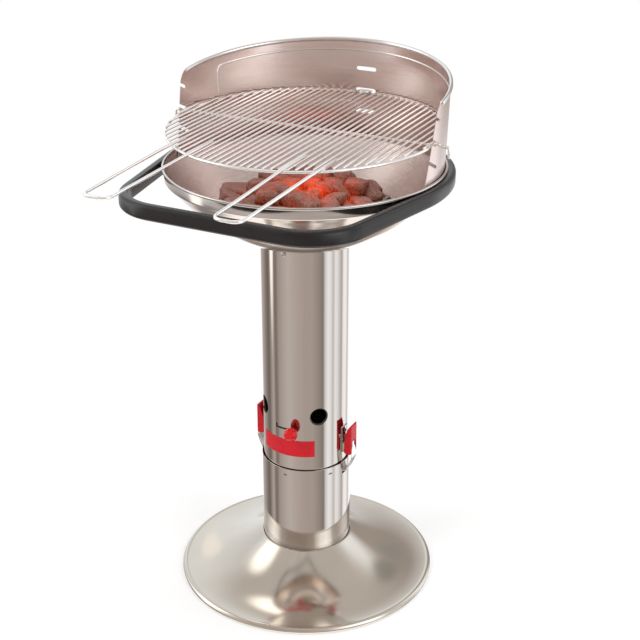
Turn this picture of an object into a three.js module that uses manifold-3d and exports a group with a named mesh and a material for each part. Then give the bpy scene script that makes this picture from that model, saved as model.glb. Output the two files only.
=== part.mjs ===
// Charcoal grill on a pedestal: steel foot and column, fire bowl, wind shield and hanging grill
import * as THREE from 'three';
import { mergeVertices } from 'three/addons/utils/BufferGeometryUtils.js';
import Module from 'manifold-3d';

const wasm = await Module();
wasm.setup();

// Lengths are in millimetres and angles in degrees. X points right, Y points back, Z points up.
// Angles around the column start at the right-hand side; the front is at -90.

// Shared
const seat_gap = 0.3;                 // air left between two pieces that touch
const overrun = 4;                    // how far a cutter passes through a wall
const round_steps = 40;               // flats around the column
const rod_sides = 8;                  // flats around a pin or a screw
const hole_sides = 14;                // flats around an air hole
const wire_sides = 6;                 // flats around a wire
const front = -90;
const back = 90;

// Foot
const foot_radius = 246;
const foot_height = 76;
const foot_wall = 1.5;
const foot_bead_radius = 6.5;
const foot_bead_flat_angle = 60;      // below level, where the bead is pressed flat
const foot_bead_angles = [112, 70, 25, -20, -60, -120, -165, -212];
const foot_flange_depth = 22;
const foot_flare_power = 1.9;
const foot_flare_steps = 6;
const foot_screw_drop = 17;
const foot_screw_angles = [30, 150, 270];

// Column tubes
const tube_wall = 1.2;
const lower_tube_length = 196;
const upper_tube_radius = 81.1;
const upper_tube_length = 452.7;
const tube_play = 2.1;                // between the upper tube and the lower one that it stands in
const tab_drop = 13.3;                // from the mouth of the lower tube to the top of its tabs
const tab_count = 6;
const tab_width = 9;
const tab_thickness = 1.2;
const tab_slit_width = 10.5;
const tab_slit_height = 2.2;
const ash_floor_lift = 6;
const ash_floor_wall = 1.2;

// Screws, all of one size
const screw_radius = 2.1;
const screw_hole_radius = 2.4;
const screw_head_radius = 4.2;
const screw_head_height = 2.4;
const nut_height = 2.6;
const nut_gap = 0.6;                  // between a nut's flat face and the round wall behind it

// Air inlet and its damper
const air_hole_radius = 17.5;
const air_hole_lift = 124.5;          // above the bottom of the upper tube
const air_hole_angles = [-135, -45, 45, 135];
const sleeve_hole_radius = 15.5;
const sleeve_wall = 1.2;
const sleeve_play = 0.6;              // between the sleeve and the tube that it turns in
const sleeve_above_hole = 16;
const sleeve_below_pin = 9;
const damper_pin_lift = 97;
const damper_pin_radius = 2;
const damper_pin_angle = -79;
const damper_travel = 25;
const damper_slot_half_height = 2.3;
const damper_slot_end_play = 0.4;
const damper_slot_hook_rise = 5.5;
const damper_pin_reach = 15;          // of the pin beyond the upper tube
const knob_radius = 13.5;
const knob_length = 18;
const knob_face_radius = 8.5;
const knob_belt = 6;
const knob_sides = 12;
const knob_standoff = 8.5;            // from the tube to the back of the knob

// Toggle clips between the upper and the lower tube
const clip_angles = { right: 0, left: 180 };
const pivot_lift = 46;                // above the bottom of the upper tube
const pivot_standoff = 13.9;          // from the tube to the lever's pivot
const pivot_pin_radius = 2;
const link_pin_radius = 1.6;
const link_pin_rise = 8;
const link_pin_out = 1;
const lever_width = 25;
const lever_wall = 1.5;
const lever_face = 2;
const lever_depth = 8;                // from the pivot out to the face
const lever_root = 6.5;               // from the pivot in to the deep end of the cheeks
const lever_top = 48;
const lever_foot = 8;
const lever_cheek_height = 17;
const notch_half_width = 8.3;
const notch_rise = 13.5;
const ear_thickness = 1.5;
const ear_inside = 8.9;
const ear_radius = 5.5;
const ear_height = 26;
const ear_foot = 4.3;                 // how far the ear's foot spreads from its root
const bracket_height = 52;
const bracket_width = 20.8;
const bracket_wall = 1.5;
const rivet_radius = 1.8;
const rivet_hole_radius = 2.1;
const rivet_head_radius = 3.4;
const rivet_head_height = 1.4;
const rivet_rises = [19, 30];         // above the pivot
const hook_wall = 1.5;
const hook_neck_width = 15;
const hook_width = 22;
const hook_eye_radius = 3;
const hook_bulge = 4;                 // how far the hook bows out beyond its eye
const hook_tip_depth = 3;
const hook_slot_drop = 21.5;          // below the mouth of the lower tube
const hook_slot_width = 26;
const hook_slot_height = 4;

// Fire bowl
const bowl_wall = 1.2;
const bowl_neck_length = 25;
const bowl_rise = 112;                // from the neck to the crease
const bowl_crease_inset = 3.6;        // from the band in to the crease
const bowl_curve_power = 1.75;
const bowl_curve_steps = 6;
const bowl_band_radius = 246.6;
const bowl_band_height = 21.5;        // from the crease to the middle of the rim bead
const bowl_band_bend = 4.5;
const rim_bead_radius = 2.5;
const rim_bead_steps = 5;
const bowl_screw_drop = 10;
const bowl_screw_angles = [-90, 30, 150];

// Handle bar around the front of the bowl
const bar_width = 15.5;
const bar_height = 27;
const bar_outer_round = 7;
const bar_inner_round = 2;
const bar_drop = 19;                  // from the top of the rim to the middle of the bar
const bar_tail_angle = 45;            // behind the side
const bar_wrap_angle = 11;            // in front of the side
const bar_wrap_steps = 7;
const bar_front_gap = 59.4;           // from the bowl's band to the middle of the bar
const bar_corner_radius = 97;
const bar_screw_angles = [-6, 15, 38];
const bar_screw_depth = 12;

// Wind shield
const shield_wall = 1;
const shield_play = 2;                // between the shield's bottom and the bowl's band
const shield_flare = 6;               // how much wider the shield is at the height of its back
const shield_back_height = 186;
const shield_end_height = 151;
const shield_end_reach = 0.7;         // degrees past the side at the top of each end
const shield_end_slant = 0.052;       // degrees gained with each millimetre down
const shield_corner_radius = 18;
const shield_steps = 40;
const hem_radius = 4;
const hem_steps = 20;
const hem_end_angle = 2.5;
const seat_rise = 42;                 // from the shield's bottom to its lowest seat
const seat_pitch = 40;
const seat_count = 3;
const used_seat = 1;
const seat_back = 4;                  // how far behind the middle the seats lie
const seat_slope = 27;
const seat_slit_length = 46;
const slot_rise = 50;
const slot_width = 40;
const slot_height = 7.4;

// Cooking grill, hung in the middle seats
const ring_wire_radius = 2.5;
const ring_play = 2;                  // between the ring and the shield
const bar_wire_radius = 2;
const bar_pitch = 12.5;
const weld_bite = 0.8;
const bar_overhang = 1.5;
const cross_wire_radius = 2.5;
const cross_wire_overhang = 20.955;   // beyond the outside of the shield
const cross_wire_drop = 20;
const cross_wire_bend = 5;
const hump_rise = 3;                  // of the cross wire where it lies in a seat
const hump_flat = 6.3;
const hump_run = 2;
const hump_lead = 2.8;                // from the start of its flat to the inside of the shield
const hump_bend = 1.2;
const rear_hook_bar = 1;              // which bars run on and form the rear hook
const rear_hook_reach = 3;            // beyond the outside of the shield
const rear_hook_bend = 5;
const rear_hook_play = 0.9;           // above the bottom of the slot
const grip_wire_radius = 2.7;
const grip_inner_bar = 7;             // the bar that each grip's inner leg lies on
const grip_spacing = 53;
const grip_start = 160;
const grip_end = 458;
const grip_bend_radius = 16;
const grip_bend_steps = 5;

// Charcoal and its grate
const grate_ring_radius = 168;
const grate_wire_radius = 3;
const grate_bar_radius = 2.5;
const grate_pitch = 26;
const grate_bars_each_side = 6;
const heap_radius = 166;
const heap_height = 58;
const lump_length = 46;
const lump_width = 36;
const lump_thickness = 23;
const lump_count = 13;
const lump_turn = 137.5;
const lump_crown_share = 0.42;

// Heights and radii that follow from the sizes above
const degree = Math.PI / 180;
const lower_tube_radius = upper_tube_radius + tube_play + tube_wall;
const lower_tube_bottom = foot_height - foot_flange_depth;
const lower_tube_top = lower_tube_bottom + lower_tube_length;
const tab_top = lower_tube_top - tab_drop;
const upper_tube_bottom = tab_top + seat_gap;
const upper_tube_top = upper_tube_bottom + upper_tube_length;
const upper_tube_bore = upper_tube_radius - tube_wall;
const lower_tube_bore = lower_tube_radius - tube_wall;
const foot_flange_bore = lower_tube_radius + seat_gap;
const foot_flange_radius = foot_flange_bore + foot_wall;
const foot_screw_height = foot_height - foot_screw_drop;
const bowl_base = upper_tube_top + seat_gap;
const bowl_neck_radius = upper_tube_bore - seat_gap;
const bowl_crease_radius = bowl_band_radius - bowl_crease_inset;
const bowl_crease_height = bowl_base + bowl_rise;
const rim_bead_height = bowl_crease_height + bowl_band_height;
const rim_top = rim_bead_height + rim_bead_radius;
const rim_bead_centre = bowl_band_radius + rim_bead_radius - bowl_wall - seat_gap;
const bowl_screw_height = bowl_base - bowl_screw_drop;
const air_hole_height = upper_tube_bottom + air_hole_lift;
const damper_pin_height = upper_tube_bottom + damper_pin_lift;
const sleeve_radius = upper_tube_bore - sleeve_play;
const sleeve_bore = sleeve_radius - sleeve_wall;
const pivot_height = upper_tube_bottom + pivot_lift;
const pivot_radius = upper_tube_radius + pivot_standoff;
const hook_slot_height_up = lower_tube_top - hook_slot_drop;
const bar_centre_height = rim_top - bar_drop;
const bar_wrap_step = (bar_tail_angle + bar_wrap_angle) / bar_wrap_steps;
const bar_bore = (bowl_band_radius + seat_gap) / Math.cos(bar_wrap_step / 2 * degree);
const bar_wrap_radius = bar_bore + bar_width / 2;
const bar_front_reach = bowl_band_radius + bar_front_gap;
const shield_radius = bowl_band_radius - bowl_wall - shield_play;
const shield_bore = shield_radius - shield_wall;
const shield_bottom = bowl_crease_height + bowl_band_bend + seat_gap + seat_gap;
const seat_height = shield_bottom + seat_rise + seat_pitch * used_seat;
const slot_used_height = shield_bottom + slot_rise + seat_pitch * used_seat;
const ring_radius = shield_bore + shieldFlare(seat_height) - ring_play - ring_wire_radius;
const bars_each_side = Math.floor((ring_radius - bar_wire_radius) / bar_pitch);
const cross_wire_height = seat_height - hump_rise;
const cross_wire_reach = shield_radius + shieldFlare(seat_height) + cross_wire_overhang;
const bar_level = cross_wire_radius + seat_gap + bar_wire_radius;
const ring_level = bar_level - ring_wire_radius - bar_wire_radius + weld_bite;
const grip_level = bar_level + bar_wire_radius + seat_gap + grip_wire_radius;
const rear_hook_height = slot_used_height - slot_height / 2 + rear_hook_play + bar_wire_radius;
const grill_tilt = Math.atan2(rear_hook_height - cross_wire_height - bar_level, shield_radius - seat_back);

// How much further out the shield's wall stands at a height than at its bottom
function shieldFlare(height) {
  return shield_flare * (height - shield_bottom) / shield_back_height;
}

// The colour, roughness and metalness of a mesh
function finish(color, roughness, metalness) {
  return new THREE.MeshStandardMaterial({ color, roughness, metalness });
}

const steel = () => finish(0xb4aaa0, 0.24, 1);
const wire_chrome = () => finish(0xd9d5d0, 0.12, 1);
const red_plastic = () => finish(0xc01f28, 0.3, 0);
const black_bar = () => finish(0x1d1b1b, 0.42, 0);
const ember = () => finish(0x7c6260, 0.95, 0);

// A closed mesh as a solid that can be joined and cut
function solidOf(geometry) {
  const bare = geometry.clone();
  bare.deleteAttribute('normal');
  bare.deleteAttribute('uv');
  const welded = mergeVertices(bare);
  const corners = welded.index.array;
  const kept = [];
  for (let i = 0; i < corners.length; i += 3) {
    const [a, b, c] = [corners[i], corners[i + 1], corners[i + 2]];
    if (a !== b && b !== c && c !== a) {
      kept.push(a, b, c);
    }
  }
  return new wasm.Manifold(new wasm.Mesh({
    numProp: 3,
    vertProperties: new Float32Array(welded.attributes.position.array),
    triVerts: new Uint32Array(kept),
  }));
}

// A solid back as a mesh geometry
function geometryOf(solid) {
  const mesh = solid.getMesh();
  const geometry = new THREE.BufferGeometry();
  geometry.setAttribute('position', new THREE.BufferAttribute(mesh.vertProperties, 3));
  geometry.setIndex(new THREE.BufferAttribute(mesh.triVerts, 1));
  geometry.computeVertexNormals();
  return geometry;
}

const joined = (solids) => solids.reduce((whole, next) => whole.add(next));
const cut = (solid, cutters) => cutters.reduce((rest, cutter) => rest.subtract(cutter), solid);
const steps = (count) => Array.from({ length: count + 1 }, (unused, i) => i / count);
const countedBothWays = (last) => Array.from({ length: 2 * last + 1 }, (unused, i) => i - last);

// A closed outline of radius and height, turned about the column's axis
function turned(outline, flats = round_steps) {
  const points = outline.map(([radius, height]) => new THREE.Vector2(radius, height));
  if (THREE.ShapeUtils.area(points) < 0) {
    points.reverse();
  }
  points.push(points[0].clone());
  return new THREE.LatheGeometry(points, flats).rotateX(Math.PI / 2);
}

// The outline of a tube's wall
function wallOutline(bore, radius, bottom, top) {
  return [[radius, bottom], [radius, top], [bore, top], [bore, bottom]];
}

// Points around a circle, as an outline
function circleOutline(centre, height, radius, sides) {
  return steps(sides).slice(0, sides).map((share) => [
    centre + radius * Math.cos(2 * Math.PI * share), height + radius * Math.sin(2 * Math.PI * share),
  ]);
}

// A line moved sideways by a wall, to the right of its run, with its corners kept sharp
function movedLine(line, wall) {
  const sides = line.slice(1).map(([radius, height], i) => {
    const [run, rise] = [radius - line[i][0], height - line[i][1]];
    const length = Math.hypot(run, rise);
    return [rise / length, -run / length];
  });
  return line.map(([radius, height], i) => {
    const before = sides[Math.max(i - 1, 0)];
    const after = sides[Math.min(i, sides.length - 1)];
    const share = wall / (1 + before[0] * after[0] + before[1] * after[1]);
    return [radius + share * (before[0] + after[0]), height + share * (before[1] + after[1])];
  });
}

// A sheet's outline: a line, and the same line moved by the wall
function sheetOutline(line, wall) {
  return [...line, ...movedLine(line, wall).reverse()];
}

// A rod that stands out from the column's axis at an angle
function radialRod(radius, from, to, height, angle, sides = rod_sides) {
  return new THREE.CylinderGeometry(radius, radius, to - from, sides)
    .rotateZ(-Math.PI / 2)
    .translate((from + to) / 2, 0, height)
    .rotateZ(angle * degree);
}

// A box that stands at an angle around the column: its depth is radial and its width runs around
function radialBox(from, to, width, bottom, top, angle) {
  return new THREE.BoxGeometry(to - from, width, top - bottom)
    .translate((from + to) / 2, 0, (top + bottom) / 2)
    .rotateZ(angle * degree);
}

// A side outline of radius and height, made a plate that is centred on the radial plane
function platedOutline(outline, width) {
  const shape = new THREE.Shape(outline.map(([radius, height]) => new THREE.Vector2(radius, height)));
  return new THREE.ExtrudeGeometry(shape, { depth: width, bevelEnabled: false })
    .translate(0, 0, -width / 2)
    .rotateX(Math.PI / 2);
}

// A rod along the width of a clip
function crossRod(radius, width, out, height) {
  return new THREE.CylinderGeometry(radius, radius, width, rod_sides).translate(out, 0, height);
}

// A wire's centre line as a curve whose sections stand only at the given points
class WireLine extends THREE.Curve {
  constructor(points) {
    super();
    this.points = points;
  }

  getPoint(share, target = new THREE.Vector3()) {
    const place = share * (this.points.length - 1);
    const before = Math.min(Math.floor(place), this.points.length - 2);
    return target.lerpVectors(this.points[before], this.points[before + 1], place - before);
  }

  getPointAt(share, target) {
    return this.getPoint(share, target);
  }

  getTangentAt(share, target = new THREE.Vector3()) {
    const place = Math.round(share * (this.points.length - 1));
    const here = this.points[place];
    const before = this.points[Math.max(place - 1, 0)];
    const after = this.points[Math.min(place + 1, this.points.length - 1)];
    const run_in = here.clone().sub(before).normalize();
    const run_out = after.clone().sub(here).normalize();
    return target.copy(run_in).add(run_out).normalize();
  }
}

// Points of a line with its corners rounded by arcs that start the given length before each corner
function roundedLine(corners, cutback, arc_steps) {
  const points = [corners[0]];
  for (let i = 1; i < corners.length - 1; i += 1) {
    const start = corners[i].clone().lerp(corners[i - 1], cutback / corners[i].distanceTo(corners[i - 1]));
    const end = corners[i].clone().lerp(corners[i + 1], cutback / corners[i].distanceTo(corners[i + 1]));
    const bend = new THREE.QuadraticBezierCurve3(start, corners[i], end);
    points.push(...bend.getPoints(arc_steps));
  }
  points.push(corners[corners.length - 1]);
  return points;
}

// A section carried along a line of points
function swept(points, outline) {
  const shape = new THREE.Shape(outline.map(([down, left]) => new THREE.Vector2(down, left)));
  const line = new WireLine(points);
  return new THREE.ExtrudeGeometry(shape, { steps: points.length - 1, extrudePath: line });
}

// A round wire along a line of points
function wire(points, radius, sides = wire_sides) {
  return swept(points, circleOutline(0, 0, radius, sides));
}

// A point at a radius and angle around the column
function polar(radius, angle, height) {
  const turn = angle * degree;
  return new THREE.Vector3(radius * Math.cos(turn), radius * Math.sin(turn), height);
}

// A screw with its nut, from a head outside to a nut inside, or without the nut in a blind hole
function screw(head_face, nut_face, height, angle) {
  const head = radialRod(screw_head_radius, head_face, head_face + screw_head_height, height, angle);
  const shank = radialRod(screw_radius, nut_face - nut_height, head_face + weld_bite, height, angle);
  const nut = radialRod(screw_head_radius, nut_face - nut_height, nut_face, height, angle, 6);
  return joined([head, shank, nut].map(solidOf));
}

const screwHoles = (height, angles, from, to) => angles.map(
  (angle) => solidOf(radialRod(screw_hole_radius, from, to, height, angle)),
);

// Foot: a trumpet of sheet steel with a rolled edge and a flange that holds the lower tube
function footSolid() {
  const bead_radius = foot_radius - foot_bead_radius;
  const bead_height = foot_bead_radius * Math.sin(foot_bead_flat_angle * degree);
  const bead = foot_bead_angles.map((angle) => [
    bead_radius + foot_bead_radius * Math.cos(angle * degree),
    bead_height + foot_bead_radius * Math.sin(angle * degree),
  ]);
  const [join_radius, join_height] = bead[0];
  const flare = steps(foot_flare_steps).map((share) => [
    foot_flange_radius + (join_radius - foot_flange_radius) * share,
    join_height + (foot_height - join_height) * (1 - share) ** foot_flare_power,
  ]);
  const moved = movedLine(flare, foot_wall);
  const underside = moved.slice(1, -1).reverse();
  const share_in = (foot_flange_radius - moved[0][0]) / (moved[1][0] - moved[0][0]);
  const fillet_height = moved[0][1] + (moved[1][1] - moved[0][1]) * share_in;
  const foot = solidOf(turned([
    [foot_flange_bore, lower_tube_bottom], [foot_flange_bore, foot_height],
    ...flare.slice(0, -1), ...bead, ...underside,
    [foot_flange_radius, fillet_height], [foot_flange_radius, lower_tube_bottom],
  ]));
  return cut(foot, screwHoles(
    foot_screw_height, foot_screw_angles, foot_flange_bore - overrun, foot_flange_radius + overrun,
  ));
}

// Lower tube: the ash pot's wall, with tabs that carry the upper tube and slots for the hooks
function lowerTubeSolid() {
  const tube = solidOf(turned(
    wallOutline(lower_tube_bore, lower_tube_radius, lower_tube_bottom, lower_tube_top),
  ));
  const tab_angles = steps(tab_count).slice(0, tab_count).map((share) => front + 360 * share);
  const slits = tab_angles.map((angle) => solidOf(radialBox(
    lower_tube_bore - overrun, lower_tube_radius + overrun,
    tab_slit_width, tab_top, tab_top + tab_slit_height, angle,
  )));
  const tabs = tab_angles.map((angle) => solidOf(radialBox(
    upper_tube_bore - seat_gap, lower_tube_radius - tube_wall / 2,
    tab_width, tab_top - tab_thickness, tab_top, angle,
  )));
  const hook_slots = Object.values(clip_angles).map((angle) => solidOf(radialBox(
    lower_tube_bore - overrun, lower_tube_radius + overrun, hook_slot_width,
    hook_slot_height_up - hook_slot_height / 2, hook_slot_height_up + hook_slot_height / 2, angle,
  )));
  const holes = screwHoles(
    foot_screw_height, foot_screw_angles, lower_tube_bore - overrun, lower_tube_radius + overrun,
  );
  return joined([cut(tube, [...slits, ...hook_slots, ...holes]), ...tabs]);
}

// Ash floor: a dish with its rim turned down, screwed in the foot of the lower tube
function ashFloorSolid() {
  const radius = lower_tube_bore - seat_gap;
  const top = foot_screw_height + screw_head_radius + ash_floor_lift;
  const dish = solidOf(turned([
    [0, top - ash_floor_wall], [radius - ash_floor_wall, top - ash_floor_wall],
    [radius - ash_floor_wall, lower_tube_bottom], [radius, lower_tube_bottom], [radius, top], [0, top],
  ]));
  return cut(dish, screwHoles(foot_screw_height, foot_screw_angles, radius - overrun, radius + overrun));
}

// Upper tube, with its air holes, the damper's slot and the holes of its screws and rivets
function upperTubeSolid() {
  const tube = solidOf(turned(
    wallOutline(upper_tube_bore, upper_tube_radius, upper_tube_bottom, upper_tube_top),
  ));
  const inside = upper_tube_bore - overrun;
  const outside = upper_tube_radius + overrun;
  const air_holes = air_hole_angles.map((angle) => solidOf(
    radialRod(air_hole_radius, inside, outside, air_hole_height, angle, hole_sides),
  ));
  const bowl_holes = screwHoles(bowl_screw_height, bowl_screw_angles, inside, outside);
  const rivet_holes = Object.values(clip_angles).flatMap((angle) => rivet_rises.map((rise) => solidOf(
    radialRod(rivet_hole_radius, inside, outside, pivot_height + rise, angle),
  )));
  return cut(tube, [...air_holes, ...damperSlot(inside, outside), ...bowl_holes, ...rivet_holes]);
}

// The slot that the damper's pin runs in, with a short rise at its closed end
function damperSlot(inside, outside) {
  const play = damper_slot_end_play / upper_tube_radius / degree;
  const first = damper_pin_angle - damper_travel - play;
  const last = damper_pin_angle + play;
  const stations = steps(6).map((share) => first + (last - first) * share);
  const pitch = (stations[1] - stations[0]) * degree * upper_tube_radius;
  const run = stations.slice(0, -1).map((angle, i) => solidOf(radialBox(
    inside, outside, pitch + damper_slot_half_height / 2,
    damper_pin_height - damper_slot_half_height, damper_pin_height + damper_slot_half_height,
    (angle + stations[i + 1]) / 2,
  )));
  const ends = [first, last].map((angle) => solidOf(
    radialRod(damper_slot_half_height, inside, outside, damper_pin_height, angle),
  ));
  const rise = solidOf(radialBox(
    inside, outside, 2 * damper_slot_half_height,
    damper_pin_height, damper_pin_height + damper_slot_hook_rise, first,
  ));
  const rise_end = solidOf(radialRod(
    damper_slot_half_height, inside, outside, damper_pin_height + damper_slot_hook_rise, first,
  ));
  return [joined([...run, ...ends, rise, rise_end])];
}

// Damper: a sleeve that turns inside the upper tube, its pin and its faceted knob
function damperSleeveSolid() {
  const sleeve = solidOf(turned(wallOutline(
    sleeve_bore, sleeve_radius,
    damper_pin_height - sleeve_below_pin, air_hole_height + air_hole_radius + sleeve_above_hole,
  )));
  const inside = sleeve_bore - overrun;
  const outside = sleeve_radius + overrun;
  const holes = air_hole_angles.map((angle) => solidOf(
    radialRod(sleeve_hole_radius, inside, outside, air_hole_height, angle, hole_sides),
  ));
  const pin_hole = solidOf(radialRod(
    damper_pin_radius + seat_gap, inside, outside, damper_pin_height, damper_pin_angle,
  ));
  return cut(sleeve, [...holes, pin_hole]);
}

function damperPinSolid() {
  const end = upper_tube_radius + damper_pin_reach;
  const head_face = sleeve_bore - nut_gap;
  const shank = radialRod(
    damper_pin_radius, head_face - nut_height, end, damper_pin_height, damper_pin_angle,
  );
  const head = radialRod(
    screw_head_radius, head_face - nut_height, head_face, damper_pin_height, damper_pin_angle,
  );
  return solidOf(shank).add(solidOf(head));
}

function damperKnobSolid() {
  const outline = [
    [0, 0], [knob_face_radius, 0], [knob_radius, knob_belt],
    [knob_radius, knob_length - knob_belt], [knob_face_radius, knob_length], [0, knob_length],
  ];
  const knob = solidOf(turned(outline, knob_sides)
    .rotateY(Math.PI / 2)
    .translate(upper_tube_radius + knob_standoff, 0, damper_pin_height)
    .rotateZ(damper_pin_angle * degree));
  const bore = solidOf(radialRod(
    damper_pin_radius + seat_gap, upper_tube_radius, upper_tube_radius + damper_pin_reach + seat_gap,
    damper_pin_height, damper_pin_angle,
  ));
  return knob.subtract(bore);
}

// Bowl: one sheet from the neck up the curve to the band, with a bead rolled around the rim
function bowlHeight(radius) {
  const share = (radius - bowl_neck_radius) / (bowl_crease_radius - bowl_neck_radius);
  return bowl_base + bowl_rise * share ** bowl_curve_power;
}

// The height of the bowl's inside surface, on the straight steps that its curve is made of
function bowlFloor(radius) {
  const step = (bowl_crease_radius - bowl_neck_radius) / bowl_curve_steps;
  const inner = bowl_neck_radius + step * Math.floor((radius - bowl_neck_radius) / step);
  const rise = bowlHeight(inner + step) - bowlHeight(inner);
  return bowlHeight(inner) + rise * (radius - inner) / step + bowl_wall * Math.hypot(step, rise) / step;
}

function bowlSolid() {
  const curve = steps(bowl_curve_steps).map((share) => {
    const radius = bowl_neck_radius + (bowl_crease_radius - bowl_neck_radius) * share;
    return [radius, bowlHeight(radius)];
  });
  const inward = bowl_band_radius - rim_bead_centre;
  const first = -Math.PI + Math.acos(-inward / rim_bead_radius);
  const last = Math.PI + Math.acos((bowl_wall - inward) / rim_bead_radius);
  const bead = steps(rim_bead_steps).map((share) => {
    const angle = first + (last - first) * share;
    const [out, up] = [rim_bead_radius * Math.cos(angle), rim_bead_radius * Math.sin(angle)];
    return [rim_bead_centre + out, rim_bead_height + up];
  });
  const line = [
    [bowl_neck_radius, bowl_base - bowl_neck_length],
    ...curve,
    [bowl_band_radius, bowl_crease_height + bowl_band_bend],
    bead[0],
  ];
  const inside = movedLine(line, -bowl_wall).slice(0, -1).reverse();
  const sheet = solidOf(turned([...line, ...bead.slice(1), ...inside]));
  const neck_holes = screwHoles(
    bowl_screw_height, bowl_screw_angles, bowl_neck_radius - overrun, bowl_neck_radius + overrun,
  );
  const band_holes = barScrewAngles().map((angle) => solidOf(radialRod(
    screw_head_radius + seat_gap, bowl_band_radius - overrun, bowl_band_radius + seat_gap / 2,
    bar_centre_height, angle,
  )));
  return cut(sheet, [...neck_holes, ...band_holes]);
}

const barScrewAngles = () => bar_screw_angles.flatMap((angle) => [angle, 180 - angle]);

// Handle bar: a rounded bar that hugs the sides of the bowl and stands clear of its front
function handleBarLine() {
  const wrap = bar_wrap_angle * degree;
  const touch = new THREE.Vector2(bar_wrap_radius * Math.cos(wrap), -bar_wrap_radius * Math.sin(wrap));
  const run = new THREE.Vector2(-Math.sin(wrap), -Math.cos(wrap));
  const corner = touch.clone().addScaledVector(run, (-bar_front_reach - touch.y) / run.y);
  const turn = Math.PI / 2 - wrap;
  const cutback = bar_corner_radius * Math.tan(turn / 2);
  const centre = new THREE.Vector2(corner.x - cutback, -bar_front_reach + bar_corner_radius);
  const tail = steps(bar_wrap_steps).map((share) => bar_tail_angle - bar_wrap_step * bar_wrap_steps * share);
  const bend = steps(bar_wrap_steps).map((share) => -bar_wrap_angle - (90 - bar_wrap_angle) * share);
  const half = [
    ...tail.map((angle) => polar(bar_wrap_radius, angle, 0)),
    ...bend.map((angle) => polar(bar_corner_radius, angle, 0).add(new THREE.Vector3(centre.x, centre.y, 0))),
  ];
  const mirrored = half.map((point) => new THREE.Vector3(-point.x, point.y, point.z)).reverse();
  return [...half, ...mirrored];
}

// A section with its flat side to the right of the run and larger rounds on its left
function barSection() {
  const half_height = bar_height / 2;
  const half_width = bar_width / 2;
  const corners = [
    [1, 1, bar_outer_round], [-1, 1, bar_outer_round],
    [-1, -1, bar_inner_round], [1, -1, bar_inner_round],
  ];
  return corners.flatMap(([down, left, radius], quarter) => steps(2).map((share) => {
    const angle = Math.PI / 2 * (quarter + share);
    return [
      down * (half_height - radius) + radius * Math.cos(angle),
      left * (half_width - radius) + radius * Math.sin(angle),
    ];
  }));
}

function handleBarSolid() {
  const bar = solidOf(swept(handleBarLine(), barSection()).translate(0, 0, bar_centre_height));
  const holes = barScrewAngles().map((angle) => solidOf(radialRod(
    screw_hole_radius, bowl_band_radius - overrun, bowl_band_radius + bar_screw_depth + seat_gap,
    bar_centre_height, angle,
  )));
  return cut(bar, holes);
}

// A screw from inside the bowl, with a flat head let into the band
function barScrewSolid(angle) {
  const face = bowl_band_radius - bowl_wall;
  const head = radialRod(screw_head_radius, face, bowl_band_radius - seat_gap / 2, bar_centre_height, angle);
  const shank = radialRod(screw_radius, face, bowl_band_radius + bar_screw_depth, bar_centre_height, angle);
  return solidOf(head).add(solidOf(shank));
}

// Wind shield: the top edge sinks from the back towards the ends, and the ends lean forward
function shieldTop(angle) {
  const share = (angle - back) / 90;
  return shield_bottom + shield_back_height - (shield_back_height - shield_end_height) * share ** 2;
}

function shieldSheet() {
  const sheet = new THREE.BoxGeometry(1, 1, 1, shield_steps, 1, 1);
  const places = sheet.attributes.position;
  const half_turn = 90 + shield_end_reach;
  for (let i = 0; i < places.count; i += 1) {
    const spread = Math.sin(Math.PI * places.getX(i));
    const from_end = (1 - Math.abs(spread)) * half_turn * degree * shield_radius;
    const into_corner = Math.max(shield_corner_radius - from_end, 0);
    const corner_drop = shield_corner_radius - Math.sqrt(shield_corner_radius ** 2 - into_corner ** 2);
    const top = shieldTop(back + half_turn * spread) - corner_drop;
    const height = places.getY(i) > 0 ? top : shield_bottom;
    const lean = (shield_bottom + shield_end_height - height) * shield_end_slant;
    const wall = places.getZ(i) > 0 ? shield_radius : shield_bore;
    const point = polar(wall + shieldFlare(height), back + (half_turn + lean) * spread, height);
    places.setXYZ(i, point.x, point.y, point.z);
  }
  return solidOf(sheet);
}

// A seat: a slit that rises forward from its closed end to the edge of the shield
function seatCutter(height, side) {
  const half_width = cross_wire_radius + seat_gap;
  const reach = 2 * overrun;
  const slit = new THREE.BoxGeometry(2 * reach, seat_slit_length, 2 * half_width)
    .translate(0, -seat_slit_length / 2, 0);
  const end = new THREE.CylinderGeometry(half_width, half_width, 2 * reach, rod_sides).rotateZ(Math.PI / 2);
  return [slit, end].map((shape) => solidOf(shape
    .rotateX(-seat_slope * degree)
    .translate(side * (shield_bore + shieldFlare(height)), seat_back, height)));
}

function slotCutter(height) {
  const half_height = slot_height / 2;
  const straight = slot_width - slot_height;
  const reach = 2 * overrun;
  const wall = shield_bore + shieldFlare(height);
  const middle = new THREE.BoxGeometry(straight, reach, slot_height).translate(0, wall, height);
  const ends = [-1, 1].map((side) => new THREE.CylinderGeometry(half_height, half_height, reach, rod_sides)
    .translate(side * straight / 2, wall, height));
  return [middle, ...ends].map(solidOf);
}

function shieldSolid() {
  const heights = Array.from({ length: seat_count }, (unused, i) => seat_pitch * i);
  const seats = heights.flatMap((rise) => [-1, 1].flatMap(
    (side) => seatCutter(shield_bottom + seat_rise + rise, side),
  ));
  const slots = heights.flatMap((rise) => slotCutter(shield_bottom + slot_rise + rise));
  const hem_span = 180 - 2 * hem_end_angle;
  const hem_line = steps(hem_steps).map((share) => {
    const angle = hem_end_angle + hem_span * share;
    const height = shieldTop(angle) - hem_radius;
    return polar(shield_radius + shieldFlare(height), angle, height);
  });
  const hem = solidOf(wire(hem_line, hem_radius));
  return cut(shieldSheet(), [...seats, ...slots]).add(hem);
}

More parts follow.
